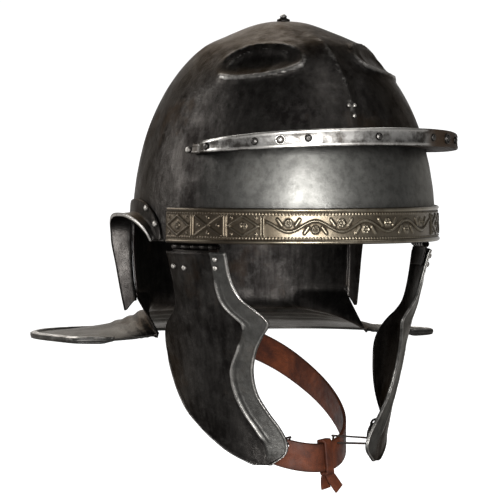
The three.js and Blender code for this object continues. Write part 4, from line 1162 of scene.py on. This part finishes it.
def iron_paint(name, dark, light, worn, shine, rough, edge_tint=(0.5, 0.48, 0.46),
               spots=(190, 5, 0.7), dull=0.68, dull_from=0.38):
    """Aged iron: dark skin with lighter scuffs, brown patches, vertical streaks and bright edges."""
    paint = Paint(name)
    patch = (0.035, 0.022, 0.013)
    blotch = paint.noise(34, 6, 0.62, distortion=0.4)
    scuff = paint.noise(150, 5, 0.7)
    streak = paint.noise(1.0, 5, 0.65, stretch=(190, 190, 15))
    scratch = paint.noise(1.0, 3, 0.6, stretch=(90, 90, 1500))
    cover = paint.plus(paint.times(blotch, 0.65), paint.times(streak, 0.45))
    colour = paint.blend(paint.span(cover, 0.45, 0.72), dark, light)
    rust = paint.span(paint.noise(22, 7, 0.68), 0.56, 0.7)
    colour = paint.blend(paint.times(rust, 0.55), colour, patch)
    fine = paint.span(scuff, 0.5, 0.78)
    colour = paint.blend(paint.times(fine, 0.07), colour, worn)
    # The shine colour where marked: partly polish, partly a painted highlight and reflection.
    polish = paint.attribute("polish")
    spotted = paint.span(paint.noise(*spots), dull_from, dull_from + 0.18, dull, 1.0)
    polish_and_sheen_share = paint.times(polish, spotted)
    colour = paint.blend(polish_and_sheen_share, colour, shine)
    wear = paint.attribute("wear")
    edge = paint.span(paint.times(wear, paint.span(scuff, 0.3, 0.62, 0.55, 1.15)), 0.35, 0.85)
    colour = paint.blend(edge, colour, worn)
    # Dark brown and matte where marked: partly rust, partly painted shade.
    rusty = paint.attribute("rusty")
    colour = paint.blend(rusty, colour, paint.blend(blotch, (0.012, 0.008, 0.006), patch))
    roughness = paint.span(blotch, 0.3, 0.7, rough + 0.1, rough - 0.06)
    for share, change in ((rust, 0.14), (polish_and_sheen_share, 0.02), (edge, -0.1), (rusty, 0.3)):
        roughness = paint.plus(roughness, paint.times(share, change))
    paint.feed(paint.shader.inputs["Specular IOR Level"], 0.12)
    smooth = paint.less(1.0, paint.times(polish, 0.75))
    hammer = paint.bump(paint.times(paint.noise(95, 2, 0.5), smooth), 0.22, 0.002)
    pits = paint.bump(paint.times(paint.noise(430, 5, 0.75), smooth), 0.45, 0.0007, hammer)
    lines = paint.bump(scratch, 0.05, 0.0003, pits)
    paint.feed(paint.shader.inputs["Specular Tint"], paint.blend(polish_and_sheen_share, edge_tint, (0.55, 0.54, 0.52)))
    return paint.finish(colour, roughness, lines, paint.less(1.0, rusty))


def brass_paint():
    paint = Paint("aged_brass")
    blotch = paint.noise(45, 6, 0.6)
    fine = paint.noise(420, 4, 0.65)
    deep = (0.035, 0.027, 0.018)
    brown = (0.075, 0.055, 0.036)
    face = paint.blend(paint.span(blotch, 0.35, 0.65), (0.165, 0.143, 0.106), (0.285, 0.252, 0.194))
    spots = paint.span(paint.noise(120, 5, 0.7), 0.5, 0.72)
    face = paint.blend(paint.times(spots, 0.7), face, brown)
    cavity = paint.span(paint.plus(paint.attribute("cavity"), paint.times(fine, 0.25)), 0.2, 1.0)
    raised = paint.span(paint.attribute("raised"), 0.05, 0.8, 0.55, 1.0)
    colour = paint.blend(cavity, deep, paint.blend(raised, brown, face))
    # Darker towards the band's ends.
    tarnish = paint.times(paint.attribute("tarnish"), paint.span(blotch, 0.3, 0.6, 0.65, 1.0))
    colour = paint.blend(tarnish, colour, paint.blend(cavity, deep, (0.043, 0.033, 0.0235)))
    return paint.finish(colour, paint.span(cavity, 0, 1, 0.62, 0.36), paint.bump(fine, 0.2, 0.0004), 1.0)


def leather_paint(name, dark, light, edge_dark, grain_scale):
    paint = Paint(name)
    blotch = paint.noise(60, 6, 0.65, distortion=0.5)
    colour = paint.blend(paint.span(blotch, 0.36, 0.66), dark, light)
    crack = paint.cracks(grain_scale)
    creased = paint.span(crack, 0.0, 0.09)
    colour = paint.blend(paint.times(paint.less(1.0, creased), 0.45), colour, edge_dark)
    wear = paint.attribute("wear")
    colour = paint.blend(paint.times(wear, 0.7), colour, edge_dark)
    rough = paint.span(paint.noise(180, 4, 0.6), 0.3, 0.7, 0.5, 0.72)
    folds = paint.bump(paint.noise(110, 3, 0.5), 0.3, 0.001)
    grain = paint.bump(crack, 0.35, 0.0004, folds)
    paint.shader.inputs["Specular IOR Level"].default_value = 0.22
    return paint.finish(colour, rough, grain, 0.0)


dark_iron = iron_paint(
    "dark_iron", dark=(0.0095, 0.0085, 0.008), light=(0.045, 0.0415, 0.0385),
    worn=(0.34, 0.325, 0.305), shine=(0.138, 0.136, 0.127), rough=0.4,
)
bright_iron = iron_paint(
    "bright_iron", dark=(0.018, 0.0145, 0.012), light=(0.06, 0.054, 0.048),
    worn=(0.5, 0.48, 0.45), shine=(0.285, 0.277, 0.264), rough=0.38,
    edge_tint=(0.05, 0.04, 0.03), spots=(75, 5, 0.65), dull=0.1, dull_from=0.42,
)
rivet_iron = iron_paint(
    "rivet_iron", dark=(0.06, 0.055, 0.05), light=(0.16, 0.15, 0.14),
    worn=(0.4, 0.38, 0.35), shine=(0.2, 0.2, 0.2), rough=0.55,
)
stud_iron = iron_paint(
    "stud_iron", dark=(0.008, 0.007, 0.0065), light=(0.024, 0.022, 0.02),
    worn=(0.09, 0.085, 0.08), shine=(0.05, 0.05, 0.05), rough=0.42,
)
brass = brass_paint()
red_leather = leather_paint(
    "red_leather", dark=(0.032, 0.0075, 0.003), light=(0.105, 0.026, 0.0085),
    edge_dark=(0.016, 0.005, 0.002), grain_scale=900,
)
dark_leather = leather_paint(
    "dark_leather", dark=(0.006, 0.0035, 0.0025), light=(0.02, 0.011, 0.007),
    edge_dark=(0.004, 0.002, 0.0015), grain_scale=1400,
)


def dress(obj, material, slot, *replaced):
    """Gives a piece its look, hangs it from the root and hides the solids it stands for."""
    obj.data.materials.clear()
    obj.data.materials.append(material)
    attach(obj, "root")
    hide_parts(*replaced)


def dress_pair(obj, material, slot, node):
    """The same for a piece on the wearer's right and for its twin on the left."""
    twin = mirror(obj)
    dress(obj, material, slot, node + "_right")
    dress(twin, material, slot, node + "_left")


# The camera and the light

TARGET = Vector((-0.0205, 0.0109, -0.1575))
AZIMUTH, ELEVATION, DISTANCE = -28.0, 1.8, 3.5
VIEW_WIDTH = 0.348


def aim_at_helmet(obj, azimuth, elevation, distance):
    """Places a camera or lamp so that it looks at the helmet, and returns the direction towards it."""
    a, e = math.radians(azimuth), math.radians(elevation)
    away = Vector((math.sin(a) * math.cos(e), -math.cos(a) * math.cos(e), math.sin(e)))
    obj.location = TARGET + away * distance
    obj.rotation_mode = "QUATERNION"
    obj.rotation_quaternion = (-away).to_track_quat("-Z", "Y")
    return away


camera = bpy.data.objects.new("camera", bpy.data.cameras.new("camera"))
link(camera)
bpy.context.scene.camera = camera
back = aim_at_helmet(camera, AZIMUTH, ELEVATION, DISTANCE)
camera.data.sensor_width = 36
camera.data.lens = camera.data.sensor_width * DISTANCE / VIEW_WIDTH
camera.data.clip_end = 100


def softbox(name, azimuth, elevation, distance, size, power):
    """A lamp that looks at the helmet from an azimuth and elevation."""
    lamp = bpy.data.lights.new(name, "AREA")
    lamp.shape, lamp.size, lamp.size_y, lamp.energy = "RECTANGLE", *size, power
    obj = bpy.data.objects.new(name, lamp)
    link(obj)
    aim_at_helmet(obj, azimuth, elevation, distance)


softbox("key_lamp", -23, 4, 2.4, (0.9, 0.9), 100)
softbox("side_lamp_right", -126, 21, 2.2, (0.7, 1.2), 28)
softbox("top_lamp", 40, 62, 2.4, (1.2, 1.2), 11)
softbox("rear_lamp", 165, 40, 2.6, (1.6, 1.2), 44)


def backdrop_tone(paint, direction):
    """White behind the helmet as the camera sees it, greyer in front of it."""
    behind = (-back.x, -back.y, 0.0)
    facing = paint.node("ShaderNodeVectorMath", {0: direction, 1: behind}, operation="DOT_PRODUCT")
    return paint.span(facing.outputs["Value"], 0.35, 0.95, 0.24, 1.06)


world = bpy.data.worlds.new("studio")
world.use_nodes = True
bpy.context.scene.world = world
bpy.context.scene.view_settings.view_transform = "Standard"
sky = Paint("sky", world)
height_of = sky.node("ShaderNodeSeparateXYZ", {0: sky.place}).outputs["Z"]
tone = sky.times(backdrop_tone(sky, sky.place), sky.span(height_of, 0.12, 0.75, 1.0, 0.36))
sky.feed(sky.shader.inputs["Color"], tone)

floor_mesh = bpy.data.meshes.new("floor")
floor_z, floor_half = -0.42, 400.0
floor_corners = [(x * floor_half, y * floor_half, floor_z) for x, y in ((-1, -1), (1, -1), (1, 1), (-1, 1))]
floor_mesh.from_pydata(floor_corners, [], [(0, 1, 2, 3)])
floor = bpy.data.objects.new("floor", floor_mesh)
link(floor)
pale = Paint("pale_floor")
away = pale.node("ShaderNodeVectorMath", {0: pale.place}, operation="LENGTH").outputs["Value"]
toward = pale.node("ShaderNodeVectorMath", {0: pale.place}, operation="NORMALIZE").outputs["Vector"]
# The floor glows: painted light, white like the backdrop behind the helmet as the camera sees it, greyer in
# front of it and weaker under the helmet.
glow = pale.times(backdrop_tone(pale, toward), pale.span(away, 0.25, 0.95, 0.0, 1.06))
pale.feed(pale.shader.inputs["Emission Color"], (1.0, 1.0, 1.0, 1.0))
pale.feed(pale.shader.inputs["Emission Strength"], glow)
pale.shader.inputs["Specular IOR Level"].default_value = 0.0
pale.finish(
    pale.blend(pale.noise(3, 2), (0.33, 0.33, 0.33), (0.345, 0.345, 0.345)), 0.9,
    pale.bump(pale.noise(40, 2), 0.02, 0.001), 0.0,
)
floor_mesh.materials.append(pale.material)

# The pieces, dressed

dress(make_bowl(), dark_iron, "dark_iron", "bowl")

finial = lathe("finial_knob", FINIAL_OUTLINE, np.array([0, 0, HEIGHT + GAP]), [0, 0, 1], 40)
dress(finial, dark_iron, "dark_iron", "crown_finial")

dress(make_brow_guard(), bright_iron, "bright_iron", "brow_guard")
for i, degrees in enumerate(STUD_ANGLES):
    seat, square = stud_seat(degrees)
    stud = lathe(f"guard_stud_{i + 1}", domed(STUD["radius"], STUD["height"]), seat, square, 28)
    dress(stud, stud_iron, "stud_iron", f"brow_stud_{i + 1}")
seat, square = stud_seat(BOSS_ANGLE)
boss = lathe("guard_boss_right", ringed(STUD["boss"], STUD["height"]), seat, square, 40)
dress_pair(boss, bright_iron, "bright_iron", "brow_boss")
# Painted shade: the boss on the far arm takes the dark stud iron, to match that arm's painted shade.
bpy.data.objects["guard_boss_left"].data.materials[0] = stud_iron


def skull_rivet(name, degrees, z, cover=0.0, radius=RIVET["radius"], height=RIVET["height"]):
    """A rivet on the skull, or on what covers it there."""
    angle = math.radians(degrees)
    relief, _ = skull_relief(angle, z)
    seat = on_skull(angle, z, relief + cover + GAP * 0.5)
    return lathe(name, domed(radius, height + GAP * 0.5), seat, skull_normal(angle, z), 28)


rivet = skull_rivet("guard_rivet_right", *BROW_RIVET)
dress_pair(rivet, rivet_iron, "bright_iron", "brow_rivet")
for i, (degrees, z) in enumerate(KEEL_RIVETS):
    rivet = skull_rivet(f"keel_pin_{i + 1}", degrees, z, radius=1.5, height=1.0)
    dress(rivet, rivet_iron, "bright_iron", f"keel_rivet_{i + 1}")

dress(make_band(), brass, "aged_brass", "brow_band")
dress_pair(make_ear_guard(), dark_iron, "dark_iron", "ear_guard")
for i, (degrees, z) in enumerate(EAR_RIVETS):
    rivet = skull_rivet(f"ear_pin_{i + 1}_right", degrees, z, GAP + EAR_GUARD["wall"])
    dress_pair(rivet, rivet_iron, "bright_iron", f"ear_rivet_{i + 1}")

dress_pair(make_cheek_guard(), dark_iron, "dark_iron", "cheek_guard")
for i, (degrees, drop) in enumerate(CHEEK_RIVETS):
    place, outward = on_cheek(degrees, -drop, cheek_rise(degrees, drop) + GAP * 0.3)
    head = domed(RIVET["small"], RIVET["height"] + 0.2)
    rivet = lathe(f"cheek_pin_{i + 1}_right", head, place, outward, 28)
    dress_pair(rivet, rivet_iron, "bright_iron", f"cheek_rivet_{i + 1}")

for piece, node in zip(make_hinge(), ("hinge_upper", "hinge_lower", "hinge_pin")):
    dress_pair(piece, stud_iron, "stud_iron", node)

dress_pair(make_staple(), stud_iron, "stud_iron", "tie_staple")
dress_pair(make_ring(), stud_iron, "stud_iron", "tie_ring")
dress_pair(make_thong(), dark_leather, "dark_leather", "tie_thong")
dress(make_strap(), red_leather, "red_leather", "chin_strap")
dress(make_knot(), red_leather, "red_leather", "strap_knot")
dress(make_neck_staple(), stud_iron, "stud_iron", "neck_staple")
